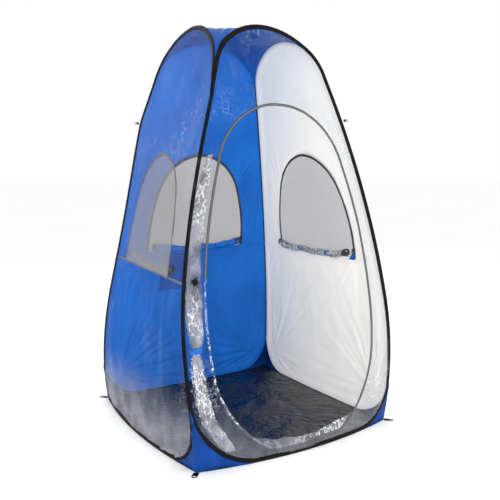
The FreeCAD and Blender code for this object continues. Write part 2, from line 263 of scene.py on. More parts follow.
@dataclass(frozen=True)
class PodShape:
    """The nominal faces, the outlines drawn on them, and the lean of the standing pod.

    A face is bowed on two arcs. Points of the outlines are (x, z) on the left half of a face; the
    hoop's points near its top are (x, depth below the top).

    Attributes:
        height: Height of the hoops' tops.
        widest_half: Half width of the pod where it is widest.
        widest_z: Height of the widest place.
        low_bow: Radius of the lower arc.
        high_bow: Radius of the upper arc.
        bow_change_z: Height where the arcs meet.
        seam_top_z: Height where two neighbouring hoops part.
        low_mark_z: Height of a point of the hoop between its corner and the change of arc.
        high_mark_z: Height of a point between that change and the seam's top.
        hoop_corner: Radius of a hoop's ground corner.
        slack_corner: Radius of the front hoop's left ground corner, which is slacker.
        hoop_side: Point of the arch above the seam.
        hoop_shoulder: Point where the arch's side meets its crown.
        hoop_crown: Point of the crown.
        seam_gap: Distance between a hoop and the corner of the pod.
        sill_z: Height of the window sills.
        sill_half: Half width of a window at its sill.
        window_side: Point of the window's side.
        window_shoulder: Point where the window's side meets its crown.
        window_crown: Point of its crown.
        window_top_z: Height of its top.
        door_foot: Point where the door's lower side turns up.
        door_corner: Point of its lower corner.
        door_waist: Point where the corner meets the side.
        door_side: Point of the side.
        door_shoulder: Point where the side meets the crown.
        door_crown: Point of the crown.
        door_top_z: Height of its top.
        leans: The corners' leans.
        ground_bow: Signs of x and y of a side, and how far it bows out at the ground.
        ground_bow_top: Height where that bow has faded out.
        arch_lift: Signs of x and y of a side, and how far its arch stands up.
        arch_lift_z: Height from which the arches stand up.
    """

    height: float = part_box("sleeve_front")[1].z
    widest_half: float = 0.555
    widest_z: float = 0.320
    low_bow: float = 2.600
    high_bow: float = 6.700
    bow_change_z: float = 0.650
    seam_top_z: float = 1.700
    low_mark_z: float = 0.430
    high_mark_z: float = 1.175
    hoop_corner: float = 0.210
    slack_corner: float = 0.300
    hoop_side: tuple = (-0.271, 0.124)
    hoop_shoulder: tuple = (-0.205, 0.066)
    hoop_crown: tuple = (-0.105, 0.0165)
    seam_gap: float = 2.0 * MM
    sill_z: float = 0.800
    sill_half: float = 0.322
    window_side: tuple = (-0.304, 1.000)
    window_shoulder: tuple = (-0.250, 1.165)
    window_crown: tuple = (-0.158, 1.278)
    window_top_z: float = 1.335
    door_foot: tuple = (-0.190, 0.048)
    door_corner: tuple = (-0.352, 0.190)
    door_waist: tuple = (-0.428, 0.430)
    door_side: tuple = (-0.408, 0.880)
    door_shoulder: tuple = (-0.325, 1.290)
    door_crown: tuple = (-0.218, 1.478)
    door_top_z: float = 1.558
    leans: tuple = (
        Lean((-1, -1), (-0.048, 0.031), 0.0, 0.75, 1.58),
        Lean((-1, 1), (0.038, -0.038), 0.22, 0.88, 1.5),
    )
    ground_bow: tuple = ((0, -1, 0.072), (-1, 0, 0.054), (0, 1, -0.015), (1, 0, -0.015))
    ground_bow_top: float = 0.40
    arch_lift: tuple = ((-1, 0, 0.022), (0, -1, 0.009))
    arch_lift_z: float = 1.620

    def profile(self, z: Array, out: Union[Array, float]) -> tuple:
        """Distance from the middle and height of a face point, on two arcs that meet smoothly.

        Args:
            z: Nominal height of the point.
            out: Distance out from the face.

        Returns:
            Two arrays: how far the point is from the pod's middle, and its height.
        """
        z = np.asarray(z, float)
        change = math.asin((self.bow_change_z - self.widest_z) / self.low_bow)
        low = np.arcsin(np.clip((z - self.widest_z) / self.low_bow, -1.0, 1.0))
        high = np.arcsin(math.sin(change) + (z - self.bow_change_z) / self.high_bow)
        upper = z > self.bow_change_z
        lean = np.where(upper, high, low)
        radius = np.where(upper, self.high_bow, self.low_bow)
        step = np.where(upper, self.high_bow - self.low_bow, 0.0)
        centre = self.widest_half - self.low_bow - step * math.cos(change)
        centre_z = self.widest_z - step * math.sin(change)
        return centre + np.cos(lean) * (radius + out), centre_z + np.sin(lean) * (radius + out)

    def half_width(self, z: Array) -> Array:
        """Half width of the pod at a height."""
        return self.profile(z, 0.0)[0]

    def nominal(self, side: Side, x: Array, z: Array, out: Union[Array, float]) -> Array:
        """Points of a side, with no lean: the front face's points turned to the side.

        Args:
            side: Which face.
            x: Width on the face, in the front position.
            z: Height on the face.
            out: Distance out from the face.

        Returns:
            Points with a last axis of three.
        """
        away, height = self.profile(z, out)
        x = np.broadcast_to(x, away.shape)
        turn = math.radians(side.value)
        cos, sin = math.cos(turn), math.sin(turn)
        return np.stack([cos * x + sin * away, sin * x - cos * away, height], axis=-1)

    def settle(self, points: Array) -> Array:
        """Nominal points moved by the corner leans and the bow near the ground.

        A corner's share is bilinear in x and y over the half width at the point's height. A side's
        bow is a parabola along the side, fades inwards by a square and upwards by a smooth step.

        Args:
            points: Points with a last axis of three.

        Returns:
            The moved points.
        """
        half = self.half_width(np.clip(points[..., 2], 0.0, self.height))
        u = np.clip(points[..., 0] / half, -1.1, 1.1)
        v = np.clip(points[..., 1] / half, -1.1, 1.1)
        z = points[..., 2]
        moved = points.copy()
        for lean in self.leans:
            share = (1.0 + lean.corner[0] * u) * (1.0 + lean.corner[1] * v) / 4.0 * lean.share(z)
            moved[..., 0] += share * lean.shift[0]
            moved[..., 1] += share * lean.shift[1]
        fade = 1.0 - smooth(z, 0.0, self.ground_bow_top)
        for sx, sy, bow in self.ground_bow:
            across, depth = (v, sx * u) if sx else (u, sy * v)
            share = np.clip(1.0 - across * across, 0.0, 1.0) * np.clip((1.0 + depth) / 2.0, 0.0, 1.1) ** 2
            moved[..., 0] += sx * bow * share * fade
            moved[..., 1] += sy * bow * share * fade
        for sx, sy, lift in self.arch_lift:
            near = np.clip((1.0 + sx * u + sy * v) / 2.0, 0.0, 1.0)
            moved[..., 2] += lift * near ** 2 * smooth(z, self.arch_lift_z, self.height)
        return moved

    def place(self, side: Side, x: Array, z: Array, out: Union[Array, float]) -> Array:
        """Points of a side in the standing pod."""
        return self.settle(self.nominal(side, x, z, out))

    def seam_edge(self, z: float) -> tuple:
        """Point (x, z) of a hoop's straight side at a height: the pod's half width less the gap."""
        return -(float(self.half_width(z)) - self.seam_gap), z

    def ground_half(self, corner: float) -> float:
        """Half length of a hoop's straight side on the ground, from its corner's radius."""
        return float(self.half_width(corner)) - self.seam_gap - corner

    def below_top(self, point: tuple) -> tuple:
        """A point (x, depth below the top) as (x, z)."""
        return point[0], self.height - point[1]

    def half_hoop(self, low: float) -> Array:
        """Left half of a hoop's outer edge, from the middle of its ground side up to its top.

        Args:
            low: Radius of the ground corner.

        Returns:
            Points (x, z).
        """
        start = self.seam_edge(low)
        foot = (-self.ground_half(low), 0.0)
        diagonal = low * math.sqrt(0.5)
        change, top = self.seam_edge(self.bow_change_z), self.seam_edge(self.seam_top_z)
        shoulder = self.below_top(self.hoop_shoulder)
        return joined([
            np.linspace((0.0, 0.0), foot, 17),
            arc(foot, (foot[0] - diagonal, low - diagonal), start),
            arc(start, self.seam_edge(self.low_mark_z), change),
            arc(change, self.seam_edge(self.high_mark_z), top, 65),
            arc(top, self.below_top(self.hoop_side), shoulder),
            arc(shoulder, self.below_top(self.hoop_crown), (0.0, self.height)),
        ])

    def hoop(self, side: Optional[Side] = None) -> Array:
        """Outer edge of a hoop, closed and clockwise from the middle of its ground side.

        Args:
            side: The side, where its own slack corner counts.

        Returns:
            Points (x, z).
        """
        left = self.half_hoop(self.slack_corner if side is Side.FRONT else self.hoop_corner)
        right = self.half_hoop(self.hoop_corner) * (-1.0, 1.0)
        return np.concatenate([left, right[::-1][1:]])

    def window(self) -> Array:
        """Middle line of a window's zip, from the left end of the sill over to the right end."""
        side = arc((-self.sill_half, self.sill_z), self.window_side, self.window_shoulder)
        crown = arc(self.window_shoulder, self.window_crown, (0.0, self.window_top_z))
        return mirrored(joined([side, crown]))

    def door(self) -> Array:
        """Middle line of the door's zip, closed and clockwise from the middle of its lower side."""
        return mirrored(joined([
            np.linspace((0.0, self.door_foot[1]), self.door_foot, 9),
            arc(self.door_foot, self.door_corner, self.door_waist),
            arc(self.door_waist, self.door_side, self.door_shoulder),
            arc(self.door_shoulder, self.door_crown, (0.0, self.door_top_z)),
        ]))


POD = PodShape()


class Socket:
    """A shader value with arithmetic: every operator adds the Math node that it names."""

    def __init__(self, graph: "Graph", out: bpy.types.NodeSocket) -> None:
        """Wrap an output socket of a graph."""
        self.graph = graph
        self.out = out

    def math(self, operation: str, *others: "Number", clamp: bool = False) -> "Socket":
        """A Math node on this value and others."""
        node = self.graph.add("ShaderNodeMath", [self, *others], operation=operation, use_clamp=clamp)
        return self.graph.value(node)

    def __add__(self, other: "Number") -> "Socket":
        """Sum."""
        return self.math("ADD", other)

    __radd__ = __add__

    def __mul__(self, other: "Number") -> "Socket":
        """Product."""
        return self.math("MULTIPLY", other)

    __rmul__ = __mul__

    def __sub__(self, other: "Number") -> "Socket":
        """Difference."""
        return self.math("SUBTRACT", other)

    def __rsub__(self, other: "Number") -> "Socket":
        """Difference from a number."""
        node = self.graph.add("ShaderNodeMath", [other, self], operation="SUBTRACT")
        return self.graph.value(node)

    def __pow__(self, other: "Number") -> "Socket":
        """Power."""
        return self.math("POWER", other)

    def __abs__(self) -> "Socket":
        """Size without the sign."""
        return self.math("ABSOLUTE")

    def wave(self, pitch: float) -> "Socket":
        """Sine of the value, with a wave length."""
        return (self * (2.0 * math.pi / pitch)).math("SINE")

    def step(self, low: float, high: float, at_low: float = 0.0, at_high: float = 1.0) -> "Socket":
        """A smooth step from at_low to at_high as the value goes from low to high."""
        inputs = {"Value": self, "From Min": low, "From Max": high, "To Min": at_low, "To Max": at_high}
        node = self.graph.add("ShaderNodeMapRange", inputs, interpolation_type="SMOOTHSTEP")
        return self.graph.value(node)


Number = Union[Socket, float, tuple]


class Graph:
    """The node tree of one material."""

    def __init__(self, name: str) -> None:
        """Start an empty tree for a new material."""
        self.material = bpy.data.materials.new(name)
        self.material.use_nodes = True
        self.tree = self.material.node_tree
        self.tree.nodes.clear()

    def add(self, kind: str, inputs: Union[dict, list, None] = None, **settings: object) -> bpy.types.Node:
        """Add a node: its settings first, then the values or links of its sockets.

        Args:
            kind: The node's type.
            inputs: Values or Sockets, by the socket's name or in order.
            settings: The node's own settings.

        Returns:
            The new node.
        """
        node = self.tree.nodes.new(kind)
        for name, setting in settings.items():
            setattr(node, name, setting)
        pairs = inputs.items() if isinstance(inputs, dict) else enumerate(inputs or [])
        for name, value in pairs:
            socket = node.inputs[name]
            if isinstance(value, Socket):
                self.tree.links.new(value.out, socket)
            elif value is not None:
                socket.default_value = value
        return node

    def value(self, node: bpy.types.Node, output: Union[int, str] = 0) -> Socket:
        """One output of a node."""
        return Socket(self, node.outputs[output])

    def place(self, kind: str = "Object") -> Socket:
        """Texture coordinates of one kind."""
        return self.value(self.add("ShaderNodeTexCoord"), kind)

    def scaled(self, vector: Socket, scale: tuple) -> Socket:
        """A vector multiplied by a scale."""
        return self.value(self.add("ShaderNodeVectorMath", [vector, scale], operation="MULTIPLY"))

    def pushed(self, vector: Socket, cloud: Socket, reach: float) -> Socket:
        """A vector moved by the colour of a noise, times a reach, so that patterns wander."""
        push = self.scaled(self.value(cloud.out.node, 1), (reach, reach, reach))
        return self.value(self.add("ShaderNodeVectorMath", [vector, push], operation="ADD"))

    def parts(self, vector: Socket) -> tuple:
        """The three numbers of a vector."""
        node = self.add("ShaderNodeSeparateXYZ", [vector])
        return tuple(self.value(node, k) for k in range(3))

    def cloud(self, vector: Socket, scale: float, detail: float = 3.0, rough: float = 0.5) -> Socket:
        """Noise from 0 to 1."""
        inputs = {"Vector": vector, "Scale": scale, "Detail": detail, "Roughness": rough}
        return self.value(self.add("ShaderNodeTexNoise", inputs, noise_dimensions="3D"))

    def cells(self, vector: Socket, scale: float) -> Socket:
        """Distance to the nearest edge between random cells, for sharp creases."""
        inputs = {"Vector": vector, "Scale": scale}
        return self.value(self.add("ShaderNodeTexVoronoi", inputs, feature="DISTANCE_TO_EDGE"))

    def blend(self, factor: Number, first: Number, second: Number) -> Socket:
        """A colour between two colours."""
        node = self.add("ShaderNodeMix", data_type="RGBA")
        for index, value in ((0, factor), (6, first), (7, second)):
            if isinstance(value, Socket):
                self.tree.links.new(value.out, node.inputs[index])
            else:
                node.inputs[index].default_value = value
        return self.value(node, 2)

    def bump(self, height: Socket, strength: float) -> Socket:
        """A normal from a height in metres."""
        inputs = {"Height": height, "Strength": strength, "Distance": 1.0}
        return self.value(self.add("ShaderNodeBump", inputs))

    def principled(self, **inputs: Number) -> Socket:
        """A Principled shader; the names have _ for a space."""
        named = {name.replace("_", " "): value for name, value in inputs.items()}
        return self.value(self.add("ShaderNodeBsdfPrincipled", named))

    def see_through(self, share: Socket, tint: tuple, shader: Socket) -> Socket:
        """A shader over a clear one, by the share of the surface that it covers."""
        clear = self.value(self.add("ShaderNodeBsdfTransparent", {"Color": tint}))
        return self.value(self.add("ShaderNodeMixShader", [share, clear, shader]))

    def finish(self, shader: Socket) -> bpy.types.Material:
        """Join a shader to the output and return the material."""
        self.add("ShaderNodeOutputMaterial", {"Surface": shader})
        return self.material


def colour(red: float, green: float, blue: float) -> tuple:
    """A linear colour with a full alpha."""
    return (red, green, blue, 1.0)


def times(base: tuple, factor: float) -> tuple:
    """A colour made lighter or darker by a factor."""
    return colour(*(factor * part for part in base[:3]))


MATERIALS: dict = {}


@dataclass(frozen=True)
class Finish:
    """A material that is built once and shared."""

    name: str

    def graph(self, graph: Graph) -> Socket:
        """The finish's shader; each kind of finish has its own."""
        raise NotImplementedError

    def material(self) -> bpy.types.Material:
        """The material, built at first use."""
        if self.name not in MATERIALS:
            graph = Graph(self.name)
            MATERIALS[self.name] = graph.finish(self.graph(graph))
        return MATERIALS[self.name]


@dataclass(frozen=True)
class PlainWeave(Finish):
    """Thin coated polyester: fine crossed threads, soft creases and a little sheen.

    Attributes:
        base: Colour of the lit cloth.
        deep: Colour where the crease height is low: painted shade in the creases.
        crease: Height of the soft creases.
        rough: Roughness.
        sheen: Weight of the sheen.
        gloss: Level of its mirror-like part.
    """

    base: tuple = colour(0.5, 0.5, 0.5)
    deep: tuple = colour(0.4, 0.4, 0.4)
    crease: float = 3.0 * MM
    rough: float = 0.48
    sheen: float = 0.0
    gloss: float = 0.3

    def graph(self, graph: Graph) -> Socket:
        """Thread ribs 2.4 mm apart along the cloth and up it, over creases from noise."""
        place = graph.place()
        x, y, z = graph.parts(place)
        ribs = (x + y).wave(2.4 * MM) * z.wave(2.4 * MM)
        soft = graph.cloud(place, 5.0, 4.0)
        long = graph.cloud(graph.scaled(place, (9.0, 9.0, 2.2)), 1.0, 5.0, 0.62)
        fine = graph.cloud(graph.scaled(place, (16.0, 16.0, 30.0)), 1.0, 3.0)
        height = soft * self.crease + long * (1.6 * self.crease) + fine * (0.35 * self.crease)
        height = height + ribs * 0.00004
        # painted shade: the tone follows the crease height, so the cloth is darker in its low creases
        tone = (soft * 0.6 + long * 0.4).step(0.36, 0.64)
        return graph.principled(
            Base_Color=graph.blend(tone, self.deep, self.base),
            Roughness=soft.step(0.3, 0.7, self.rough - 0.06, self.rough + 0.1),
            Sheen_Weight=self.sheen,
            Specular_IOR_Level=self.gloss,
            Normal=graph.bump(height, 0.8),
        )


@dataclass(frozen=True)
class ClearFilm(Finish):
    """Clear vinyl film with a faint haze, vertical streaks and crinkles, with painted highlights and
    reflections.

    Attributes:
        haze: Share of light that the flat film scatters back.
        streak: How much the streaks add to it, as a painted highlight along them.
        crinkle_highlight: How much the crinkles add to it, as a painted white highlight on their lines.
        crease: Height of the crinkles.
        low_reflection: Whiteness that is added towards the ground: a painted reflection where the lower film
            tilts.
        cells: Crinkles in a metre.
        glance: Haze that is added where the film is seen edge on.
        high_haze: Haze that is added towards the top.
        fine: How wide the crinkles' lines with their painted highlight are.
        clearing: How much of the film has no crinkles.
        dark: How dark the film's hollows are painted, as a part of its colour: a painted reflection.
        tint: Colour of the light that passes.
        body: Colour of the light that is scattered.
    """

    haze: float = 0.01
    streak: float = 0.05
    crinkle_highlight: float = 0.45
    crease: float = 2.0 * MM
    low_reflection: float = 0.12
    cells: float = 40.0
    glance: float = 0.35
    high_haze: float = 0.0
    fine: float = 0.04
    clearing: float = 0.46
    dark: float = 0.7
    tint: tuple = colour(0.95, 0.96, 0.98)
    body: tuple = colour(0.62, 0.64, 0.68)

    def graph(self, graph: Graph) -> Socket:
        """See-through film mixed with a glossy film by haze, streaks, crinkles and glance."""
        place = graph.place()
        _, _, z = graph.parts(place)
        wander = graph.cloud(place, 2.4, 2.0)
        streaks = graph.cloud(graph.scaled(place, (34.0, 34.0, 1.3)), 1.0, 4.0, 0.6)
        broad = graph.cloud(graph.scaled(place, (11.0, 11.0, 1.1)), 1.0, 3.0, 0.5)
        warp = graph.cloud(place, 9.0, 3.0)
        crease = abs(graph.cloud(graph.scaled(place, (1.0, 1.0, 0.7)), self.cells, 4.0, 0.62) - 0.5)
        # painted highlight: mask of the crinkle lines, which are bumped and also made whiter and less clear
        crinkle_bump_and_highlight = crease.step(0.0, 0.5 * self.fine, 1.0, 0.0) * wander.step(self.clearing, self.clearing + 0.14)
        glance = graph.value(graph.add("ShaderNodeLayerWeight", {"Blend": 0.5}), "Facing") ** 3.0
        # painted reflection: the film is made whiter towards the ground
        ground = z.step(0.03, 0.36, 1.0, 0.0)
        # painted highlight: the streaks are bumped below and also whiten the film here
        share = glance * self.glance + self.haze + (streaks * broad).step(0.24, 0.42) * self.streak
        share = share + z.step(0.6, 1.3) * self.high_haze
        share = share + crinkle_bump_and_highlight * self.crinkle_highlight + ground * self.low_reflection * warp.step(0.3, 0.65, 0.8, 1.0)
        height = crinkle_bump_and_highlight * self.crease + streaks * 0.0015 + warp * 0.004
        # painted reflection: the body colour is darker where the film lies low
        shade = graph.blend(warp.step(0.36, 0.60), times(self.body, self.dark), self.body)
        gloss = graph.principled(
            # painted highlight: the crinkle lines get a near-white base colour
            Base_Color=graph.blend(crinkle_bump_and_highlight, shade, colour(0.95, 0.95, 0.97)),
            Roughness=broad.step(0.3, 0.7, 0.12, 0.24),
            Normal=graph.bump(height, 0.7),
            IOR=1.5,
        )
        return graph.see_through(share.math("MINIMUM", 0.9, clamp=True), self.tint, gloss)


@dataclass(frozen=True)
class FineMesh(Finish):
    """Insect mesh: dark threads in two directions with holes between them.

    Attributes:
        pitch: Distance between threads.
        cover: Share of the light that a thread's crest stops, before the clouds are added.
    """

    pitch: float = 2.0 * MM
    cover: float = 0.62

    def graph(self, graph: Graph) -> Socket:
        """Threads are the crests of two sine waves over the cloth's own coordinates."""
        u, v, _ = graph.parts(graph.place("UV"))
        threads = u.wave(self.pitch).math("MAXIMUM", v.wave(self.pitch))
        cloud = graph.cloud(graph.place(), 3.0, 2.0)
        share = threads.step(0.55, 0.98, self.cover - 0.10, self.cover + 0.20) + (cloud - 0.5) * 0.08
        dark = graph.principled(
            Base_Color=graph.blend(cloud, colour(0.27, 0.265, 0.28), colour(0.22, 0.22, 0.235)),
            Roughness=0.6,
        )
        return graph.see_through(share.math("ADD", 0.0, clamp=True), colour(1.0, 1.0, 1.0), dark)


@dataclass(frozen=True)
class RibbedBinding(Finish):
    """Black polyester binding: ribs across, and a row of stitches near its inner edge.

    Attributes:
        base: Colour of the binding.
        worn: Colour where it is rubbed, and of the stitches.
        stitch_at: Place of the stitches across the band.
    """

    base: tuple = colour(0.0030, 0.0028, 0.0027)
    worn: tuple = colour(0.0090, 0.0080, 0.0075)
    stitch_at: float = 6.0 * MM

    def graph(self, graph: Graph) -> Socket:
        """Ribs every 1.6 mm along the band; stitches are dashes at one place across it."""
        u, v, _ = graph.parts(graph.place("UV"))
        ribs = u.wave(1.6 * MM)
        dash = u.wave(6.0 * MM).step(-0.2, 0.3)
        row = abs(v - self.stitch_at).step(0.0004, 0.0011, 1.0, 0.0) * dash
        cloud = graph.cloud(graph.place(), 26.0, 4.0)
        tone = cloud.step(0.35, 0.7) * 0.7 + row * 0.3
        height = ribs * 0.00012 + row * 0.0004 + cloud * 0.0012
        return graph.principled(
            Base_Color=graph.blend(tone, self.base, self.worn),
            Roughness=cloud.step(0.3, 0.7, 0.5, 0.68),
            Normal=graph.bump(height, 0.9),
            Specular_IOR_Level=0.10,
        )


@dataclass(frozen=True)
class ZipTape(Finish):
    """Zip: a coil of teeth along the middle of two woven tapes.

    Attributes:
        tape: Colour of the tapes.
        coil: Colour of the teeth.
        glint: Colour painted on the teeth's crests as a highlight.
        half: Half the width of the zip.
    """

    tape: tuple = colour(0.02, 0.02, 0.022)
    coil: tuple = colour(0.012, 0.012, 0.013)
    glint: tuple = colour(0.10, 0.10, 0.105)
    half: float = 6.0 * MM

    def graph(self, graph: Graph) -> Socket:
        """Teeth every 1.7 mm in a 5 mm band at the middle, and ribs on the tapes beside it."""
        u, v, _ = graph.parts(graph.place("UV"))
        away = abs(v - self.half)
        band = away.step(0.0022, 0.0030, 1.0, 0.0)
        teeth = u.wave(1.7 * MM).step(-0.4, 0.6)
        ribs = v.wave(0.9 * MM)
        cloud = graph.cloud(graph.place(), 40.0, 3.0)
        crest = band * teeth
        tape = graph.blend(cloud.step(0.35, 0.65), self.tape, times(self.tape, 1.5))
        # painted highlight: the teeth's crests take the glint colour
        toothed = graph.blend(crest, self.coil, self.glint)
        height = crest * 0.0009 + (1.0 - band) * ribs * 0.00008 + cloud * 0.0004
        return graph.principled(
            Base_Color=graph.blend(band, tape, toothed),
            Roughness=band.step(0.0, 1.0, 0.7, 0.35),
            Normal=graph.bump(height, 0.9),
        )


@dataclass(frozen=True)
class Tarpaulin(Finish):
    """Glossy black woven tarpaulin, creased all over by its folding, with painted brownish highlights."""

    def graph(self, graph: Graph) -> Socket:
        """Sharp creases between random cells of three sizes over a 2.5 mm weave of flat strips."""
        place = graph.place()
        x, y, _ = graph.parts(place)
        warp = graph.cloud(place, 4.0, 4.0)
        bent = graph.pushed(place, warp, 0.16)
        large = graph.cells(bent, 5.0)
        small = graph.cells(bent, 17.0)
        tiny = graph.cells(graph.scaled(bent, (1.0, 1.8, 1.0)), 38.0)
        weave = x.wave(5.0 * MM) * y.wave(5.0 * MM)
        height = large.math("MINIMUM", 0.25) * 0.035 + small.math("MINIMUM", 0.2) * 0.014
        height = height + tiny.math("MINIMUM", 0.2) * 0.005 + warp * 0.02 + weave * 0.00006
        # painted highlight: brownish colour on the raised parts of the large folds
        painted_brown_highlight = warp.step(0.45, 0.7)
        return graph.principled(
            Base_Color=graph.blend(painted_brown_highlight, colour(0.005, 0.006, 0.012), colour(0.030, 0.023, 0.018)),
            Roughness=warp.step(0.3, 0.7, 0.22, 0.38),
            Normal=graph.bump(height, 0.9),
            Specular_IOR_Level=0.5,
        )


@dataclass(frozen=True)
class HardPiece(Finish):
    """Metal or plastic with brushed or moulded grain and worn edges.

    Attributes:
        base: Main colour.
        worn: Colour where it is rubbed.
        metal: Metallic share.
        rough: Roughness.
    """

    base: tuple = colour(0.05, 0.05, 0.05)
    worn: tuple = colour(0.2, 0.2, 0.2)
    metal: float = 0.0
    rough: float = 0.4

    def graph(self, graph: Graph) -> Socket:
        """Two sizes of noise for the grain and the rubbed places."""
        place = graph.place()
        grain = graph.cloud(place, 600.0, 2.0)
        rubbed = graph.cloud(place, 90.0, 4.0).step(0.52, 0.7)
        return graph.principled(
            Base_Color=graph.blend(rubbed, self.base, self.worn),
            Metallic=self.metal,
            Roughness=grain.step(0.3, 0.7, self.rough - 0.08, self.rough + 0.12),
            Normal=graph.bump(grain * 0.0001 + rubbed * 0.0001, 0.6),
        )


BLUE = PlainWeave(
    "blue_polyester", colour(0.006, 0.131, 0.525), colour(0.003, 0.102, 0.44), 4.5 * MM, gloss=0.2)
# painted shade: the gussets are a much darker copy of the blue polyester
SHADED_GUSSET_BLUE = PlainWeave(
    "shaded_gusset_polyester", colour(0.002, 0.048, 0.25), colour(0.001, 0.017, 0.09), 8.0 * MM, gloss=0.15)
ROOF_BLUE = PlainWeave(
    "roof_polyester", colour(0.007, 0.080, 0.36), colour(0.005, 0.060, 0.29), gloss=0.2)
WHITE = PlainWeave(
    "white_polyester", colour(0.885, 0.865, 0.80), colour(0.87, 0.85, 0.79), 1.5 * MM, rough=0.55, sheen=0.02)
FILM = ClearFilm(
    "front_vinyl", haze=0.004, streak=0.03, crinkle_highlight=0.45, cells=34.0, fine=0.04, clearing=0.49)
SIDE_FILM = ClearFilm(
    "side_vinyl", haze=0.0, streak=0.045, crinkle_highlight=0.34, low_reflection=0.40, cells=34.0, glance=0.06,
    high_haze=0.06, fine=0.03, clearing=0.49, body=colour(0.55, 0.56, 0.60))
# painted reflection: the gathered film's hollows are painted much darker (dark=0.22)
BUNDLE_FILM = ClearFilm(
    "gathered_vinyl", haze=0.26, streak=0.34, crinkle_highlight=1.0, crease=9.0 * MM, low_reflection=0.0, cells=20.0,
    glance=0.7, fine=0.085, clearing=0.40, dark=0.22, body=colour(0.42, 0.415, 0.43))
ROLL_FILM = ClearFilm(
    "rolled_vinyl", haze=0.04, streak=0.10, crinkle_highlight=0.9, crease=6.0 * MM, low_reflection=0.0, cells=44.0,
    glance=0.5, fine=0.08, clearing=0.34, body=colour(0.42, 0.43, 0.46))
SILL_FILM = ClearFilm(
    "threshold_vinyl", haze=0.05, streak=0.2, crinkle_highlight=0.9, crease=7.0 * MM, low_reflection=0.10, cells=30.0,
    glance=0.5, fine=0.08, clearing=0.36)
MESH = FineMesh("insect_mesh")
# painted shade: a denser, darker copy of the insect mesh for the back window, which gets less light
SHADED_BACK_MESH = FineMesh("shaded_back_insect_mesh", cover=0.74)
BINDING = RibbedBinding("ribbed_binding")
BLACK_ZIP = ZipTape("black_zip")
GREY_ZIP = ZipTape(
    "grey_zip", colour(0.035, 0.034, 0.034), colour(0.02, 0.02, 0.02), colour(0.34, 0.33, 0.32))
DULL_ZIP = ZipTape(
    "dull_zip", colour(0.12, 0.10, 0.085), colour(0.05, 0.045, 0.04), colour(0.2, 0.18, 0.16))
TARP = Tarpaulin("woven_tarpaulin")
STEEL = HardPiece("spring_steel_finish", colour(0.30, 0.31, 0.33), colour(0.5, 0.5, 0.5), 1.0, 0.3)
TIN = HardPiece("crimped_tube", colour(0.4, 0.4, 0.41), colour(0.55, 0.55, 0.55), 1.0, 0.42)
SLIDER = HardPiece("slider_metal", colour(0.03, 0.03, 0.032), colour(0.16, 0.16, 0.16), 0.7, 0.38)
PULL = HardPiece("pull_plastic", colour(0.018, 0.018, 0.018), colour(0.05, 0.05, 0.05), 0.0, 0.5)


def strip_faces(rows: int, columns: int, closed: tuple) -> Array:
    """Corner numbers of the faces of a grid, with rows in the first place.

    Args:
        rows: Points along the first way.
        columns: Points along the second way.
        closed: Whether each way joins its end to its start.

    Returns:
        An array of four corners for each face.
    """
    i = np.arange(rows if closed[0] else rows - 1)[:, None]
    j = np.arange(columns if closed[1] else columns - 1)[None, :]
    after_i, after_j = (i + 1) % rows, (j + 1) % columns
    corners = [i * columns + j, after_i * columns + j, after_i * columns + after_j, i * columns + after_j]
    return np.stack(np.broadcast_arrays(*corners), axis=-1).reshape(-1, 4)


def grid_uv(grid: Array, closed: tuple) -> Array:
    """Coordinates of a grid in metres: running lengths along its middle row and middle column."""
    rows, columns = grid.shape[:2]
    along = np.concatenate([grid, grid[:1]])[:, columns // 2] if closed[0] else grid[:, columns // 2]
    across = np.concatenate([grid, grid[:, :1]], axis=1)[rows // 2] if closed[1] else grid[rows // 2]
    u, v = np.meshgrid(lengths(along), lengths(across), indexing="ij")
    return np.stack([u, v], axis=-1)


def faces_out(patches: Array, closed: tuple) -> bool:
    """Whether a surface's faces point away from the pod's middle, or out of a tube.

    A tube is tested by its signed volume: a third of the sum of each face's centre times its
    area vector. A sheet is tested from the middle of the pod instead.

    Args:
        patches: Grids of points.
        closed: Whether the rows and columns close on themselves.

    Returns:
        True if the faces point outwards.
    """
    if closed[0]:
        patches = np.concatenate([patches, patches[:, :1]], axis=1)
    if closed[1]:
        patches = np.concatenate([patches, patches[:, :, :1]], axis=2)
    one = patches[:, 1:, 1:] - patches[:, :-1, :-1]
    other = patches[:, :-1, 1:] - patches[:, 1:, :-1]
    centre = (patches[:, 1:, 1:] + patches[:, :-1, :-1]) / 2.0
    origin = np.zeros(3) if any(closed) else np.array([0.0, 0.0, 0.6])
    return float(((centre - origin) * np.cross(one, other)).sum()) > 0.0


def linked(name: str, data: bpy.types.ID) -> bpy.types.Object:
    """A new object in the scene with this mesh, light or camera."""
    made = bpy.data.objects.new(name, data)
    bpy.context.scene.collection.objects.link(made)
    return made


def merge(mesh: bpy.types.Mesh, gap: float, thin: float = 0.0) -> None:
    """Merge points that are nearer than a gap, then dissolve edges shorter than a limit, if given."""
    shell = bmesh.new()
    shell.from_mesh(mesh)
    bmesh.ops.remove_doubles(shell, verts=shell.verts, dist=gap)
    if thin:
        bmesh.ops.dissolve_degenerate(shell, edges=shell.edges, dist=thin)
    shell.to_mesh(mesh)
    shell.free()


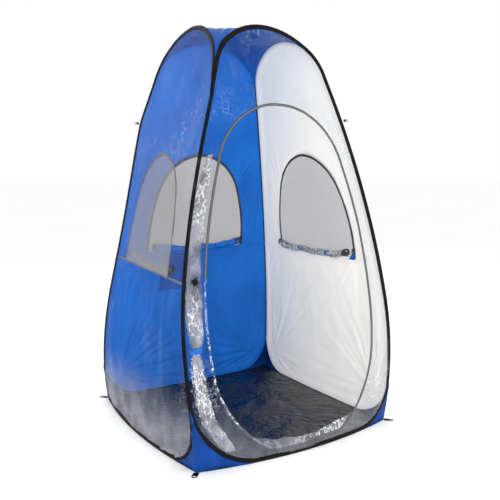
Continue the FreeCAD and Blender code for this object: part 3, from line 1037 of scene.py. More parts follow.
def piece(
    name: str,
    grid: Array,
    finish: Finish,
    body: str,
    slot: str,
    nodes: Sequence[str] = (),
    closed: tuple = (False, False),
    seal: bool = False,
    thick: float = 0.0,
) -> bpy.types.Object:
    """Put a grid of points into a mesh and register the piece with the frame.

    Args:
        name: The piece's name.
        grid: Points in rows and columns, or several such patches of one size.
        finish: Its finish.
        body: The body that it rides on.
        slot: Not used.
        nodes: Frame nodes that it stands for.
        closed: Whether the rows and the columns close on themselves.
        seal: Whether to merge points that meet, as at a pole.
        thick: Thickness that is given to the sheet, or 0 for a bare film.

    Returns:
        The new object.
    """
    patches = grid if grid.ndim == 4 else grid[None]
    patches = patches if faces_out(patches, closed) else patches[:, :, ::-1]
    rows, columns = patches.shape[1:3]
    faces = strip_faces(rows, columns, closed)
    mesh = bpy.data.meshes.new(name)
    starts = np.arange(len(patches))[:, None, None] * rows * columns
    mesh.from_pydata(patches.reshape(-1, 3).tolist(), [], (faces + starts).reshape(-1, 4).tolist())
    uv = grid_uv(patches[0], closed)
    width = uv.shape[1]
    first, second = faces // columns, faces % columns
    if closed[0]:
        first[-(faces.shape[0] // rows):, 1:3] = rows
    if closed[1]:
        second[columns - 1::columns, 2:] = columns
    corner_uv = uv.reshape(-1, 2)[first * width + second]
    layer = mesh.uv_layers.new(name="cloth")
    layer.data.foreach_set("uv", np.tile(corner_uv.astype(np.float32).ravel(), len(patches)))
    mesh.polygons.foreach_set("use_smooth", np.ones(len(mesh.polygons), bool))
    if seal:
        merge(mesh, 0.05 * MM, 0.01 * MM)
    mesh.materials.append(finish.material())
    made = linked(name, mesh)
    if thick:
        wall = made.modifiers.new("thickness", "SOLIDIFY")
        wall.thickness = thick
        wall.offset = 0.0
    return register(made, body, nodes)


def register(made: bpy.types.Object, body: str, nodes: Sequence[str]) -> bpy.types.Object:
    """Tell the frame what a piece rides on and the nodes that it stands for."""
    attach(made, body)
    if nodes:
        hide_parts(*nodes)
    LOG.info("%s rides on %s for %s", made.name, body, ", ".join(nodes) or "no node")
    return made


def copied(name: str, node: str, finish: Finish, body: str, bevel: float) -> bpy.types.Object:
    """A hard piece with the frame node's own shape, moved whole with the skin at its middle.

    Args:
        name: The piece's name.
        node: Frame node whose mesh is copied.
        finish: Its finish.
        body: The body that it rides on.
        bevel: Width of a rounding along its edges.

    Returns:
        The new object.
    """
    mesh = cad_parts[node].data.copy()
    mesh.name = name
    merge(mesh, 0.01 * MM)
    points = np.zeros(len(mesh.vertices) * 3)
    mesh.vertices.foreach_get("co", points)
    middle = points.reshape(-1, 3).mean(axis=0)
    moved = points.reshape(-1, 3) + POD.settle(middle) - middle
    mesh.vertices.foreach_set("co", moved.ravel())
    mesh.materials.clear()
    mesh.materials.append(finish.material())
    made = linked(name, mesh)
    if bevel:
        edge = made.modifiers.new("soft_edges", "BEVEL")
        edge.width = bevel
        edge.segments = 2
    return register(made, body, [node])


def grid_area(grid: Array) -> float:
    """Area of a grid's faces, as half the cross product of each face's diagonals."""
    one = grid[1:, 1:] - grid[:-1, :-1]
    other = grid[1:, :-1] - grid[:-1, 1:]
    return float(np.linalg.norm(np.cross(one, other), axis=-1).sum() / 2.0)


def cut_sheet(made: bpy.types.Object, flat: tuple, area: float) -> None:
    """Log a sheet's cut area beside the area of its flat rectangle.

    Args:
        made: The sheet.
        flat: Width and length of the cut.
        area: Area of the cut.
    """
    LOG.info("%s: cut area %.4f of %.4f", made.name, area, flat[0] * flat[1])
    min(area, flat[0] * flat[1])


def turn_about_z(side: Side) -> Array:
    """Matrix that turns the front position to a side."""
    turn = math.radians(side.value)
    cos, sin = math.cos(turn), math.sin(turn)
    return np.array([[cos, -sin, 0.0], [sin, cos, 0.0], [0.0, 0.0, 1.0]])


def bell(away: Array, width: float) -> Array:
    """A smooth bump of height 1, by the distance from its middle."""
    return np.exp(-((away / width) ** 2))


def band_along(line: Array, half: float, count: int) -> tuple:
    """Rows beside a line on a face.

    Args:
        line: Open line, points (x, z).
        half: Half width of the band.
        count: How many rows, from one edge of the band to the other.

    Returns:
        Places x, heights z, and each row's distance from the line.
    """
    across = np.linspace(-half, half, count)
    rows = np.stack([inset(line, -away, False) for away in across], axis=1)
    return rows[..., 0], rows[..., 1], across


def both(point: tuple) -> list:
    """A point (x, z) and its mirror image."""
    return [point, (-point[0], point[1])]


def ladder(low: Array, high: Array, count: int) -> Array:
    """A grid of straight lines from each point of one curve to the same point of another.

    Args:
        low: First curve.
        high: Second curve, with as many points.
        count: Points on each line.

    Returns:
        A grid with the curves' points in the first place.
    """
    share = np.linspace(0.0, 1.0, count)[None, :, None]
    return low[:, None, :] * (1.0 - share) + high[:, None, :] * share


def half_at(outline: Array, z: Array) -> Array:
    """Half width of a closed outline at a height, from the points of its left half."""
    left = outline[: len(outline) // 2 + 1]
    return -np.interp(z, left[:, 1], left[:, 0])


def distance_to(outline: Array, x: Array, z: Array) -> Array:
    """Distance from places on a face to the nearest of an outline's points.

    Args:
        outline: Closed outline, points (x, z).
        x: Places across the face.
        z: Heights.

    Returns:
        Distances.
    """
    points = resample(outline, 400)
    away = np.full(np.broadcast(x, z).shape, np.inf)
    for across, up in points:
        away = np.minimum(away, (x - across) ** 2 + (z - up) ** 2)
    return np.sqrt(away)


@dataclass
class HoopSleeves:
    """Four spring-steel bands with their crimped tubes, each in a black sleeve.

    Attributes:
        width: Width of a sleeve that lies free.
        seam_width: Width of one that is squeezed beside its neighbour, along a seam.
        half_thick: Half the thickness of a sleeve.
        squeeze_from: Heights between which a sleeve narrows above the ground.
        squeeze_to: Heights between which it widens above the seam.
        band_share: Width of the steel, as a part of the sleeve's.
        band_half_thick: Half its thickness.
        crimp_share: Width of the crimped tube, as a part of the sleeve's.
        crimp_half_thick: Half its thickness.
        crimp_from: First row of the hoop that it covers, counted from the middle of the ground side.
        crimp_long: How many rows it covers.
        piping_in: How far the piping lies inside the corner of the pod.
        piping_radius: Radius of the piping.
        piping_foot: Height where the piping starts.
        points: Rows along a hoop.
        round_points: Points round a sleeve.
    """

    width: float = 0.021
    seam_width: float = 0.0100
    half_thick: float = 3.6 * MM
    squeeze_from: tuple = (0.10, 0.26)
    squeeze_to: tuple = (1.60, 1.76)
    band_share: float = 0.46
    band_half_thick: float = 0.7 * MM
    crimp_share: float = 0.60
    crimp_half_thick: float = 2.2 * MM
    crimp_from: int = -3
    crimp_long: int = 7
    piping_in: float = 6.0 * MM
    piping_radius: float = 2.6 * MM
    piping_foot: float = 0.19
    points: int = 560
    round_points: int = 20

    def tube(self, side: Side, share: float, half_thick: float, pucker: float = 0.0) -> Array:
        """A flattened tube along the hoop, in the middle of the sleeve's width.

        Args:
            side: The face.
            share: Its width, as a part of the sleeve's.
            half_thick: Half its thickness.
            pucker: How unevenly it bulges along its run.

        Returns:
            A grid of points, with the run in rows and the section in columns.
        """
        outer = resample(POD.hoop(side), self.points + 1)[:-1]
        ring = np.concatenate([outer, outer[:1]])
        turn = np.linspace(0.0, 2.0 * math.pi, self.round_points, endpoint=False)
        full = smooth(ring[:, 1], *self.squeeze_to) + 1.0 - smooth(ring[:, 1], *self.squeeze_from)
        narrow = {Side.FRONT: -1.0, Side.LEFT: 1.0}.get(side, 0.0)
        full = np.where(ring[:, 0] * narrow > 0.0, full, 1.0)
        width = (self.seam_width + (self.width - self.seam_width) * full)[:, None]
        lie = np.array([inset(ring, width / 2.0 * (1.0 - share * c), True)[:-1] for c in np.cos(turn)])
        run = lengths(ring)[:-1]
        bulge = 1.0 + pucker * noise(run, run * 0.0, 0.012, 11 + side.value)
        out = half_thick * np.sign(np.sin(turn)) * np.abs(np.sin(turn)) ** 0.8
        height = np.maximum(lie[..., 1], self.half_thick * 0.2)
        flat = out[:, None] * (0.72 + 0.28 * np.cos(turn)[:, None]) * bulge
        return np.swapaxes(POD.place(side, lie[..., 0], height, flat), 0, 1)

    def piping(self, turn: Side) -> Array:
        """A thin cord up a corner seam, inside the two sleeves: a circle carried up the corner."""
        z = np.linspace(self.piping_foot, POD.seam_top_z + 0.02, 160)[:, None]
        turns = np.linspace(0.0, 2.0 * math.pi, 8, endpoint=False)[None, :]
        reach = -(POD.half_width(z) - self.piping_in)
        wave = 0.6 * MM * noise(z, z * 0.0, 0.05, 17)
        x = reach + wave + self.piping_radius * np.cos(turns)
        y = reach - wave + self.piping_radius * np.sin(turns)
        grid = np.stack(np.broadcast_arrays(x, y, z + 0.0 * turns), axis=-1)
        return POD.settle(grid @ turn_about_z(turn).T)

    def build(self) -> None:
        """Make the sleeves, the steel inside them and the corner piping."""
        for name, turn in CORNERS.items():
            piece(name + "_seam_piping", self.piping(turn), BINDING, "shell", "black_binding",
                  closed=(False, True))
        for side in Side:
            node = side.word
            sleeve = self.tube(side, 1.0, self.half_thick, 0.14)
            band = self.tube(side, self.band_share, self.band_half_thick)
            piece(f"{node}_hoop_sleeve", sleeve, BINDING, "shell", "black_binding",
                  ["sleeve_" + node], closed=(True, True))
            piece(f"{node}_hoop_band", band, STEEL, "shell", "spring_steel",
                  ["hoop_" + node], closed=(True, True))
        rows = np.arange(self.crimp_from, self.crimp_from + self.crimp_long)
        crimps = [self.tube(side, self.crimp_share, self.crimp_half_thick)[rows] for side in Side]
        piece("hoop_crimp_tubes", np.array(crimps), TIN, "shell", "spring_steel", ["hoop_ferrules"],
              closed=(False, True))


@dataclass
class FrontFace:
    """Clear front film, the door's zip and the clear strip across its threshold.

    Attributes:
        under_sleeve: How far inside the hoop's outer edge the film ends.
        centre: Point (x, z) from which the door's outline and the hoop are matched by direction.
        film_flat: Width and length of the film's cut.
        film_cut: Area of the cut, with what lies under the sleeves and the zip.
        tape_half: Half width of the zip's tape.
        zip_start: Point (x, z) of the door's outline where the hinge ends and the zip starts.
        zip_lift: How far the tape lies on the film.
        zip_long: Not used.
        hinge_half: Half width of the hinge's weld.
        hinge_long: Not used.
        strip_low: Height of the threshold strip's lower edge.
        strip_high: Height of the middle of its upper edge.
    """

    under_sleeve: float = 0.014
    centre: tuple = (0.0, 0.80)
    film_flat: tuple = (1.07, 1.91)
    film_cut: float = 0.62
    tape_half: float = 6.0 * MM
    zip_start: tuple = (-0.412, 0.815)
    zip_lift: float = 1.4 * MM
    zip_long: float = 3.6
    hinge_half: float = 5.0 * MM
    hinge_long: float = 1.25
    strip_low: float = 0.046
    strip_high: float = 0.068

    def slack(self, x: Array, z: Array) -> Array:
        """Billow of the film, tall soft waves and small buckles near the foot."""
        wave = 3.0 * MM * noise(x, z, (0.16, 0.5), 3) + 1.2 * MM * pleats(x, z, 82.0, 0.5, 0.035, 4)
        foot = 2.2 * MM * pleats(x, z, 35.0, 0.16, 0.03, 5) * (1.0 - smooth(z, 0.2, 0.6))
        return wave + foot

    def film(self) -> Array:
        """Rings between the door's outline and the hoop's inner edge, matched by direction."""
        hoop = resample(inset(POD.hoop(Side.FRONT), self.under_sleeve, True), 361)
        door = inset(resample(POD.door(), 721), -self.tape_half * 0.6, True)
        centre = np.array(self.centre)
        hoop_angle, door_angle = (np.unwrap(np.arctan2(*(c - centre).T)) for c in (hoop, door))
        inner = np.stack([np.interp(hoop_angle, door_angle, door[:, k]) for k in range(2)], axis=1)
        return ladder(inner, hoop, 14)

    def door_lines(self) -> tuple:
        """The door's outline in two parts: the hinge, and the zip from there over, down and back."""
        door = POD.door()
        start = np.argmin(np.linalg.norm(door - np.array(self.zip_start), axis=1))
        return resample(door[: start + 1], 150), resample(door[start:], 420)

    def build(self) -> None:
        """Make the film, the zip, the welded hinge line and the threshold."""
        flat = self.film()
        x, z = flat[..., 0], flat[..., 1]
        plain = POD.nominal(Side.FRONT, x, z, 0.0)
        made = piece("front_film", POD.place(Side.FRONT, x, z, self.slack(x, z)), FILM, "shell",
                     "clear_film", ["panel_front"], seal=True)
        area = max(grid_area(plain), self.film_cut)
        cut_sheet(made, self.film_flat, area)
        self.build_zip()
        self.build_threshold()

    def build_zip(self) -> None:
        """The zip's tape with a raised coil, and the plain welded edge along the hinge."""
        hinge, line = self.door_lines()
        x, z, across = band_along(line, self.tape_half, 9)
        out = self.slack(x, z) + self.zip_lift + bell(across, 2.2 * MM) * 1.3 * MM
        made = piece("door_zip_tape", POD.place(Side.FRONT, x, z, out), GREY_ZIP, "shell", "zip_tape",
                     ["door_zip"], thick=0.8 * MM)
        x, z, _ = band_along(hinge, self.hinge_half, 4)
        made = piece("door_hinge_weld", POD.place(Side.FRONT, x, z, self.slack(x, z) + 0.8 * MM), SILL_FILM,
                     "shell", "clear_film")

    def build_threshold(self) -> None:
        """Strip across the threshold: the door's outline up to a slack, wavy upper edge."""
        door = POD.door()
        share = np.linspace(-1.0, 1.0, 150)
        top = self.strip_high + 0.036 * share ** 2 + 0.006 * noise(share, share * 0.0, 0.22, 31)
        up = np.linspace(0.0, 1.0, 16)
        z = self.strip_low + (top - self.strip_low)[:, None] * up[None, :]
        x = share[:, None] * (half_at(door, z) + 0.004)
        out = 3.0 * MM * pleats(x, z, 20.0, 0.12, 0.02, 32) * np.sin(up * math.pi * 0.5)[None, :]
        out = out - 0.012 * up[None, :] ** 2
        plain = grid_area(POD.nominal(Side.FRONT, x, z, 0.0))
        made = piece("threshold_film_strip", POD.place(Side.FRONT, x, z, out), SILL_FILM, "shell",
                     "clear_film", ["door_threshold"])
        cut_sheet(made, (0.70, 0.06), plain)


@dataclass
class WindowFace:
    """A face with a mesh window: panels above and below the sill, mesh, zip and seam tape.

    Attributes:
        side: Which face.
        finish: Finish of its panels.
        zip_finish: Finish of the window's zip.
        slot: Material slot of the panels.
        mesh: Finish of the window's mesh.
        tension: Height of the creases that run out from its corners.
        film_under: How far inside the hoop's outer edge a clear panel ends.
        cloth_under: The same for a cloth panel.
        foot_root: Point (x, z) of the face's lower corner, where creases start.
        zip_half: Half width of the zip.
        zip_long: Not used.
        upper_flat: Width and length of the upper panel's cut.
        lower_flat: The same for the lower panel.
        mesh_flat: The same for the mesh.
        seam_half: Half width of the seam along the sill.
    """

    side: Side
    finish: Finish
    zip_finish: Finish
    slot: str
    mesh: FineMesh = MESH
    tension: float = 4.0 * MM
    film_under: float = 0.014
    cloth_under: float = 2.5 * MM
    foot_root: tuple = (-0.46, 0.12)
    zip_half: float = 6.0 * MM
    zip_long: float = 1.42
    upper_flat: tuple = (1.03, 1.14)
    lower_flat: tuple = (1.11, 0.82)
    mesh_flat: tuple = (0.65, 0.56)
    seam_half: float = 5.0 * MM

    @property
    def clear(self) -> bool:
        """Whether the panels are clear film."""
        return self.slot == "clear_film"

    @property
    def edge(self) -> float:
        """How far inside the hoop's outer edge the panels end."""
        return self.film_under if self.clear else self.cloth_under

    def slack(self, x: Array, z: Array) -> Array:
        """Billow, tension creases from the window's corners and waves under the seam."""
        seed = 40 + self.side.value
        shape = 3.0 * MM * noise(x, z, 0.22, seed) + 1.3 * MM * pleats(x, z, 80.0, 0.4, 0.05, seed + 1)
        corners = both((-POD.sill_half, POD.sill_z)) + both(POD.window_shoulder)
        for index, root in enumerate(corners):
            shape = shape + self.tension * fan(x, z, root, 34.0, 0.18, seed + 5 + index)
        for index, root in enumerate(both(self.foot_root)):
            shape = shape + 1.4 * self.tension * fan(x, z, root, 44.0, 0.34, seed + 9 + index)
        if not self.clear:
            tuck = 1.0 - smooth(distance_to(POD.hoop(), x, z), 0.020, 0.055)
            shape = shape * (1.0 - tuck) - 5.0 * MM * tuck
        return shape * 0.8

    def panel(self, name: str, node: str, x: Array, z: Array, flat: tuple) -> None:
        """Make one panel and log its cut."""
        out = self.slack(x, z)
        made = piece(name, POD.place(self.side, x, z, out), self.finish, "shell", self.slot, [node],
                     seal=True, thick=0.0 if self.clear else 0.7 * MM)
        plain = grid_area(POD.nominal(self.side, x, z, 0.0))
        cut_sheet(made, flat, plain)

    def build(self) -> None:
        """Make every piece of the face."""
        word = self.side.word
        hoop = inset(POD.hoop(), self.edge, True)
        sill = POD.sill_z
        left = hoop[: len(hoop) // 2 + 1]
        upper = left[left[:, 1] > sill]
        start = np.array([[-float(half_at(hoop, sill)), sill]])
        outer = resample(mirrored(np.concatenate([start, upper])), 301)
        inner = resample(inset(POD.window(), -self.zip_half * 0.7, False), 301)
        inner[:, 1] = np.maximum(inner[:, 1], sill)
        grid = ladder(inner, outer, 22)
        self.panel(word + "_upper_panel", f"panel_{word}_upper", grid[..., 0], grid[..., 1], self.upper_flat)
        foot = float(hoop[0, 1])
        rise = np.linspace(0.0, 1.0, 90) ** 1.35
        z = foot + (sill - foot) * rise
        half = half_at(hoop, z)
        half[0] = max(half[0], POD.ground_half(POD.hoop_corner))
        x = np.linspace(-1.0, 1.0, 121)[None, :] * half[:, None]
        z = np.broadcast_to(z[:, None], x.shape)
        self.panel(word + "_lower_panel", f"panel_{word}_lower", x[::-1], z[::-1], self.lower_flat)
        self.build_mesh()
        self.build_zip()
        self.build_tape(half_at(hoop, np.array([sill]))[0])

    def build_mesh(self) -> None:
        """Mesh inside the window: rows as wide as the arch, closing to a point at the top."""
        arch = inset(POD.window(), self.zip_half * 0.6, False)
        foot, top = POD.sill_z + 2.0 * MM, float(arch[len(arch) // 2, 1])
        rise = 1.0 - (1.0 - np.linspace(0.0, 1.0, 60)) ** 2.2
        z = foot + (top - foot) * rise
        half = half_at(arch, z)
        x = np.linspace(-1.0, 1.0, 61)[None, :] * half[:, None]
        z = np.broadcast_to(z[:, None], x.shape)
        word = self.side.word
        out = 2.5 * MM * noise(x, z, 0.2, 70 + self.side.value)
        plain = grid_area(POD.nominal(self.side, x, z, 0.0))
        grid = POD.place(self.side, x[::-1], z[::-1], out[::-1])
        made = piece(word + "_window_mesh", grid, self.mesh, "shell", "mesh_cloth", ["window_mesh_" + word],
                     seal=True)
        cut_sheet(made, self.mesh_flat, plain)

    def build_zip(self) -> None:
        """Zip around the window's arch, with a raised coil."""
        word = self.side.word
        x, z, across = band_along(resample(POD.window(), 360), self.zip_half, 9)
        face = 1.0 if self.clear else -1.0
        out = self.slack(x, z) + face * (2.2 + 1.2 * bell(across, 2.0 * MM)) * MM
        made = piece(word + "_window_zip", POD.place(self.side, x, z, out), self.zip_finish, "shell",
                     "zip_tape", ["window_zip_" + word], thick=0.8 * MM)
        2.0 * self.zip_half

    def build_tape(self, half: float) -> None:
        """Folded seam along the sill, between the two panels."""
        x = np.linspace(-half, half, 200)[:, None]
        up = np.linspace(-1.0, 1.0, 5)[None, :]
        z = POD.sill_z + self.seam_half * up + 0.0 * x
        x = x + 0.0 * up
        out = self.slack(x, z) - 1.6 * MM + 0.4 * MM * noise(x, z, 0.012, 90)
        made = piece(self.side.word + "_sill_seam", POD.place(self.side, x, z, out),
                     DULL_ZIP if self.clear else self.finish, "shell", "zip_tape",
                     ["seam_tape_" + self.side.word], thick=0.9 * MM)
        2.0 * self.seam_half


FACES = {
    Side.LEFT: WindowFace(Side.LEFT, SIDE_FILM, DULL_ZIP, "clear_film"),
    Side.BACK: WindowFace(Side.BACK, BLUE, BLACK_ZIP, "blue_cloth", SHADED_BACK_MESH, 8.0 * MM),
    Side.RIGHT: WindowFace(Side.RIGHT, WHITE, BLACK_ZIP, "white_cloth"),
}


@dataclass
class WindowFlap:
    """A window's cover, rolled down to the sill, with the zip's other tape along its edge.

    The cover is an arch. Its foot is the outermost turn of the roll, so the roll is longest there
    and each turn further in is narrower, and the edge's tape makes a zigzag at both ends.

    Attributes:
        side: Which face.
        finish: Finish of the cover.
        slot: Its material slot.
        droop: How far the roll sags in its middle.
        seed: Seed of its bulges.
        radius: Radius of the roll.
        core: Radius of its innermost turn.
        turns: How many times the cover is rolled.
        inward: How far inside the face the roll hangs.
        up: Height of the roll's middle over the sill.
        height: Length of the cover's cut, from its foot to its top.
        flat_width: Width of the cut.
        cut: Area of the cut.
        arch_share: Width of the cover, as a part of the window's.
        tape_flat: Width and length of an edge tape.
        tie_places: Places of the ties along the roll.
    """

    side: Side
    finish: Finish
    slot: str
    droop: float
    seed: int
    radius: float = 19.0 * MM
    core: float = 6.0 * MM
    turns: float = 6.0
    inward: float = 26.0 * MM
    up: float = 22.0 * MM
    height: float = 0.50
    flat_width: float = 0.60
    cut: float = 0.26
    arch_share: float = 0.93
    tape_flat: tuple = (0.014, 0.56)
    tie_places: tuple = (-0.12, 0.11)

    def middle(self, x: Array) -> tuple:
        """Centre of the roll along the sill: it sags between its ties and pulls up at its ends."""
        share = x / 0.3
        sag = self.droop * np.cos(share * math.pi * 0.5) + 5.0 * MM * noise(x, x * 0.0, 0.09, self.seed)
        rise = POD.sill_z + self.up - sag + 0.012 * np.abs(share) ** 4
        return rise, -self.inward + 5.0 * MM * noise(x, x * 0.0, 0.12, self.seed + 1)

    def roll(self, end: float = 0.0) -> Array:
        """The rolled cover, or the tape along one end of it.

        The distance h up the cover turns round the roll: the angle grows with h, and the radius
        falls evenly from the outer turn to the core. The width at h is the arch's.

        Args:
            end: -1 or 1 for the tape at the lower or higher end of x, 0 for the cover.

        Returns:
            A grid of points in the standing pod.
        """
        h = np.linspace(0.0, 1.0, 190)
        half = half_at(POD.window(), POD.sill_z + 0.03 + h * self.height) * self.arch_share
        if end:
            x = end * (half[:, None] - np.linspace(0.0, self.tape_flat[0], 5)[None, :])
        else:
            x = np.linspace(-1.0, 1.0, 90)[None, :] * half[:, None]
        angle = -0.5 * math.pi + 2.0 * math.pi * self.turns * h[:, None] + 0.0 * x
        crush = 1.0 + 0.34 * noise(x, angle * 0.05, (0.035, 0.11), self.seed + 3)
        crush = crush + 0.16 * noise(x, angle * 0.05, (0.014, 0.05), self.seed + 4)
        tied = 1.0 - 0.35 * sum(bell(x - place, 0.022) for place in self.tie_places)
        radius = (self.radius + (self.core - self.radius) * h[:, None]) * crush * tied
        rise, depth = self.middle(x)
        up = rise + radius * np.sin(angle)
        out = depth + radius * np.cos(angle) * 0.85
        return POD.place(self.side, x, up, np.clip(out, -0.075, -0.002))

    def build(self) -> None:
        """Make the rolled cover, its edge tapes and, where there are any, the ties."""
        word = self.side.word
        body = f"window_flap_{word}_body"
        made = piece(word + "_rolled_cover", self.roll(), self.finish, body, self.slot,
                     ["window_flap_" + word])
        cut_sheet(made, (self.flat_width, self.height), self.cut)
        for sign, end in ((-1.0, "left"), (1.0, "right")):
            band = piece(f"{word}_cover_{end}_tape", self.roll(sign), BLACK_ZIP, body, "zip_tape",
                         thick=1.0 * MM)
            cut_sheet(band, self.tape_flat, math.prod(self.tape_flat))
        if word != "left":
            self.build_ties(body)

    def build_ties(self, body: str) -> None:
        """Two narrow straps around the roll."""
        word = self.side.word
        turn = np.linspace(0.0, 2.0 * math.pi, 40)[:, None]
        radius = self.radius * 0.86
        for index, place in enumerate(self.tie_places):
            x = place + np.linspace(-5.0, 5.0, 4)[None, :] * MM + 2.0 * MM * np.sin(turn)
            rise, depth = self.middle(np.full_like(turn, place))
            up = rise + radius * np.sin(turn) + 0.0 * x
            out = depth + radius * np.cos(turn) * 0.85 + 0.0 * x
            nodes = ["window_ties_" + word] if index == 0 else []
            made = piece(f"{word}_cover_tie_{index + 1}", POD.place(self.side, x, up, out), BLUE, body,
                         "blue_cloth", nodes, thick=1.0 * MM)


@dataclass
class DoorFlap:
    """The door's clear cover, gathered beside the hinge and held by a strap with a toggle.

    Attributes:
        low_z: Height of the bundle's foot.
        high_z: Height of its top.
        folds: How many times the film runs across it.
        depth: How far the bundle's middle stands out of the face; it is less than 0, inside.
        half_deep: Half its thickness.
        flat: Not used.
        strap_z: Height of the strap.
        strap_half: Half its width.
        strap_half_deep: Half the thickness of what it goes around.
        patch_at: Point (x, z) of the dark patch's middle.
        patch_wide: Its width.
        patch_turn: How far it is turned, in degrees.
    """

    low_z: float = 0.062
    high_z: float = 1.335
    folds: int = 5
    depth: float = -0.031
    half_deep: float = 0.017
    flat: tuple = (0.42, 1.32)
    strap_z: float = 0.517
    strap_half: float = 11.0 * MM
    strap_half_deep: float = 0.0195
    patch_at: tuple = (-0.457, 0.803)
    patch_wide: float = 0.026
    patch_turn: float = 30.0

    def spine(self, z: Array) -> tuple:
        """Middle and half width of the bundle by height, narrow at the top and under the strap."""
        heights = np.array([0.05, 0.10, 0.20, 0.30, 0.42, 0.50, 0.56, 0.70, 0.85, 1.05, 1.20, 1.335])
        right = np.array([0.350, 0.370, 0.426, 0.446, 0.456, 0.462, 0.442, 0.424, 0.420, 0.392, 0.366, 0.338])
        left = np.array([0.408, 0.438, 0.494, 0.508, 0.512, 0.503, 0.505, 0.507, 0.494, 0.456, 0.414, 0.356])
        outer, inner = np.interp(z, heights, left), np.interp(z, heights, right)
        return -(outer + inner) / 2.0, (outer - inner) / 2.0

    def bundle(self) -> Array:
        """Folds back and forth: a triangle wave across the bundle, deeper at each pass."""
        z = np.linspace(self.low_z, self.high_z, 300)[:, None]
        u = np.linspace(0.0, 1.0, 150)[None, :]
        middle, half = self.spine(z)
        wave = 2.0 / math.pi * np.arcsin(np.sin(math.pi * self.folds * u - 0.5 * math.pi))
        pinch = 1.0 - 0.25 * bell(z - self.strap_z, 0.03)
        crumple = noise(u * 1.3, z, (0.09, 0.06), 51) * 0.16 + noise(u * 1.3, z, (0.04, 0.025), 52) * 0.09
        x = middle + half * pinch * np.clip(wave * 0.90 + crumple, -1.0, 1.0)
        depth = (u - 0.5) * 0.9 + 0.25 * noise(u * 2.0, z, (0.12, 0.05), 53)
        depth = depth + 0.14 * noise(u * 2.0, z, (0.05, 0.018), 54)
        out = self.depth + self.half_deep * pinch * np.clip(depth * 2.0, -1.0, 1.0)
        return POD.place(Side.FRONT, x, z + 0.0 * x, out)

    def build(self) -> None:
        """Make the bundle, the strap around it, the dark patch and the toggle."""
        made = piece("door_gathered_cover", self.bundle(), BUNDLE_FILM, "door_flap_body", "clear_film",
                     ["door_flap"])
        self.build_strap()
        self.build_patch()
        copied("door_tie_toggle", "door_toggle", PULL, "door_toggle_body", 0.0)

    def build_strap(self) -> None:
        """Band around the bundle: a rounded rectangle in section, a little tilted."""
        turn = np.linspace(0.0, 2.0 * math.pi, 60, endpoint=False)[:, None]
        up = np.linspace(-1.0, 1.0, 6)[None, :]
        middle, half = self.spine(np.array([[self.strap_z]]))
        wide, deep = (np.sign(wave) * np.abs(wave) ** 0.6 for wave in (np.cos(turn), np.sin(turn)))
        x = middle + half * 1.04 * wide + 0.0 * up
        z = self.strap_z + self.strap_half * up + 4.0 * MM * np.cos(turn)
        out = self.depth + self.strap_half_deep * deep + 0.8 * MM * np.cos(up * 3.0)
        grid = POD.place(Side.FRONT, x, z, out)
        made = piece("door_tie_band", grid, BLUE, "door_flap_body", "blue_cloth", ["door_tie_strap"],
                     closed=(True, False), thick=1.2 * MM)

    def build_patch(self) -> None:
        """Small dark square on the bundle, turned a little."""
        turn = math.radians(self.patch_turn)
        a, b = np.meshgrid(np.linspace(-1.0, 1.0, 9), np.linspace(-1.0, 1.0, 9), indexing="ij")
        half = self.patch_wide / 2.0
        x = self.patch_at[0] + half * (a * math.cos(turn) - b * math.sin(turn))
        z = self.patch_at[1] + half * (a * math.sin(turn) + b * math.cos(turn))
        out = -0.0115 + 0.6 * MM * noise(x, z, 0.012, 61)
        made = piece("door_hook_patch", POD.place(Side.FRONT, x, z, out), BINDING, "door_flap_body",
                     "black_binding", ["door_patch"], thick=1.6 * MM)


@dataclass
class RoofCap:
    """Blue roof: a flat square between the arches' tops and a slope down to each seam.

    Attributes:
        under: How far inside the hoops' outer edges the cloth ends.
        flat: Width and length of the cloth's cut.
        flat_rows: Rows from the middle to the arches' tops.
        slope_rows: Rows on the slope.
        columns: Points along a row of a quarter.
    """

    under: float = 8.0 * MM
    flat: tuple = (0.82, 0.82)
    flat_rows: int = 14
    slope_rows: int = 44
    columns: int = 41

    def quarter(self) -> Array:
        """One quarter: lines from the front arch to the left arch, from the middle to the seam.

        The flat part grows evenly from the middle. On the slope the height falls by the square of
        the row's share, and the line's ends follow the two arches.
        """
        hoop = inset(POD.hoop(), self.under, True)
        left = hoop[: len(hoop) // 2 + 1]
        high = left[left[:, 1] > 1.5]
        top = float(high[-1, 1])
        fall = np.linspace(0.0, 1.0, self.slope_rows)[1:] ** 2
        z = np.concatenate([np.full(self.flat_rows, top), top - (top - POD.seam_top_z) * fall])
        grow = np.concatenate([np.linspace(0.0, 1.0, self.flat_rows), np.ones(self.slope_rows - 1)])
        along = POD.half_width(z)
        across = np.minimum(np.interp(z, high[:, 1], -high[:, 0]), along)
        across[: self.flat_rows] = 0.0
        first = np.stack([-across * grow, -along * grow, z], axis=1)
        second = np.stack([-along * grow, -across * grow, z], axis=1)
        grid = ladder(first, second, self.columns)
        middle = np.sin(np.linspace(0.0, math.pi, self.columns))[None, :]
        span = np.linalg.norm(second - first, axis=1)[:, None]
        rows = np.arange(len(z))[:, None] * 0.02 + 0.0 * middle
        folds = 3.0 * MM * noise(rows, np.arange(self.columns)[None, :] * 0.02 + 0.0 * rows, (0.35, 0.07), 75)
        sag = (0.035 * span + folds) * middle * grow[:, None]
        grid[..., 0] += 0.5 * sag
        grid[..., 1] += 0.5 * sag
        grid[..., 2] -= 0.6 * sag
        return grid

    def build(self) -> None:
        """Turn the quarter to the four corners as one sheet."""
        quarter = self.quarter()
        turned = np.stack([quarter @ turn_about_z(side).T for side in Side])
        grid = POD.settle(turned)
        made = piece("roof_cloth_cap", grid, ROOF_BLUE, "shell", "blue_cloth", ["roof_cap"], seal=True,
                     thick=0.7 * MM)
        area = sum(grid_area(patch) for patch in grid)
        cut_sheet(made, self.flat, area)


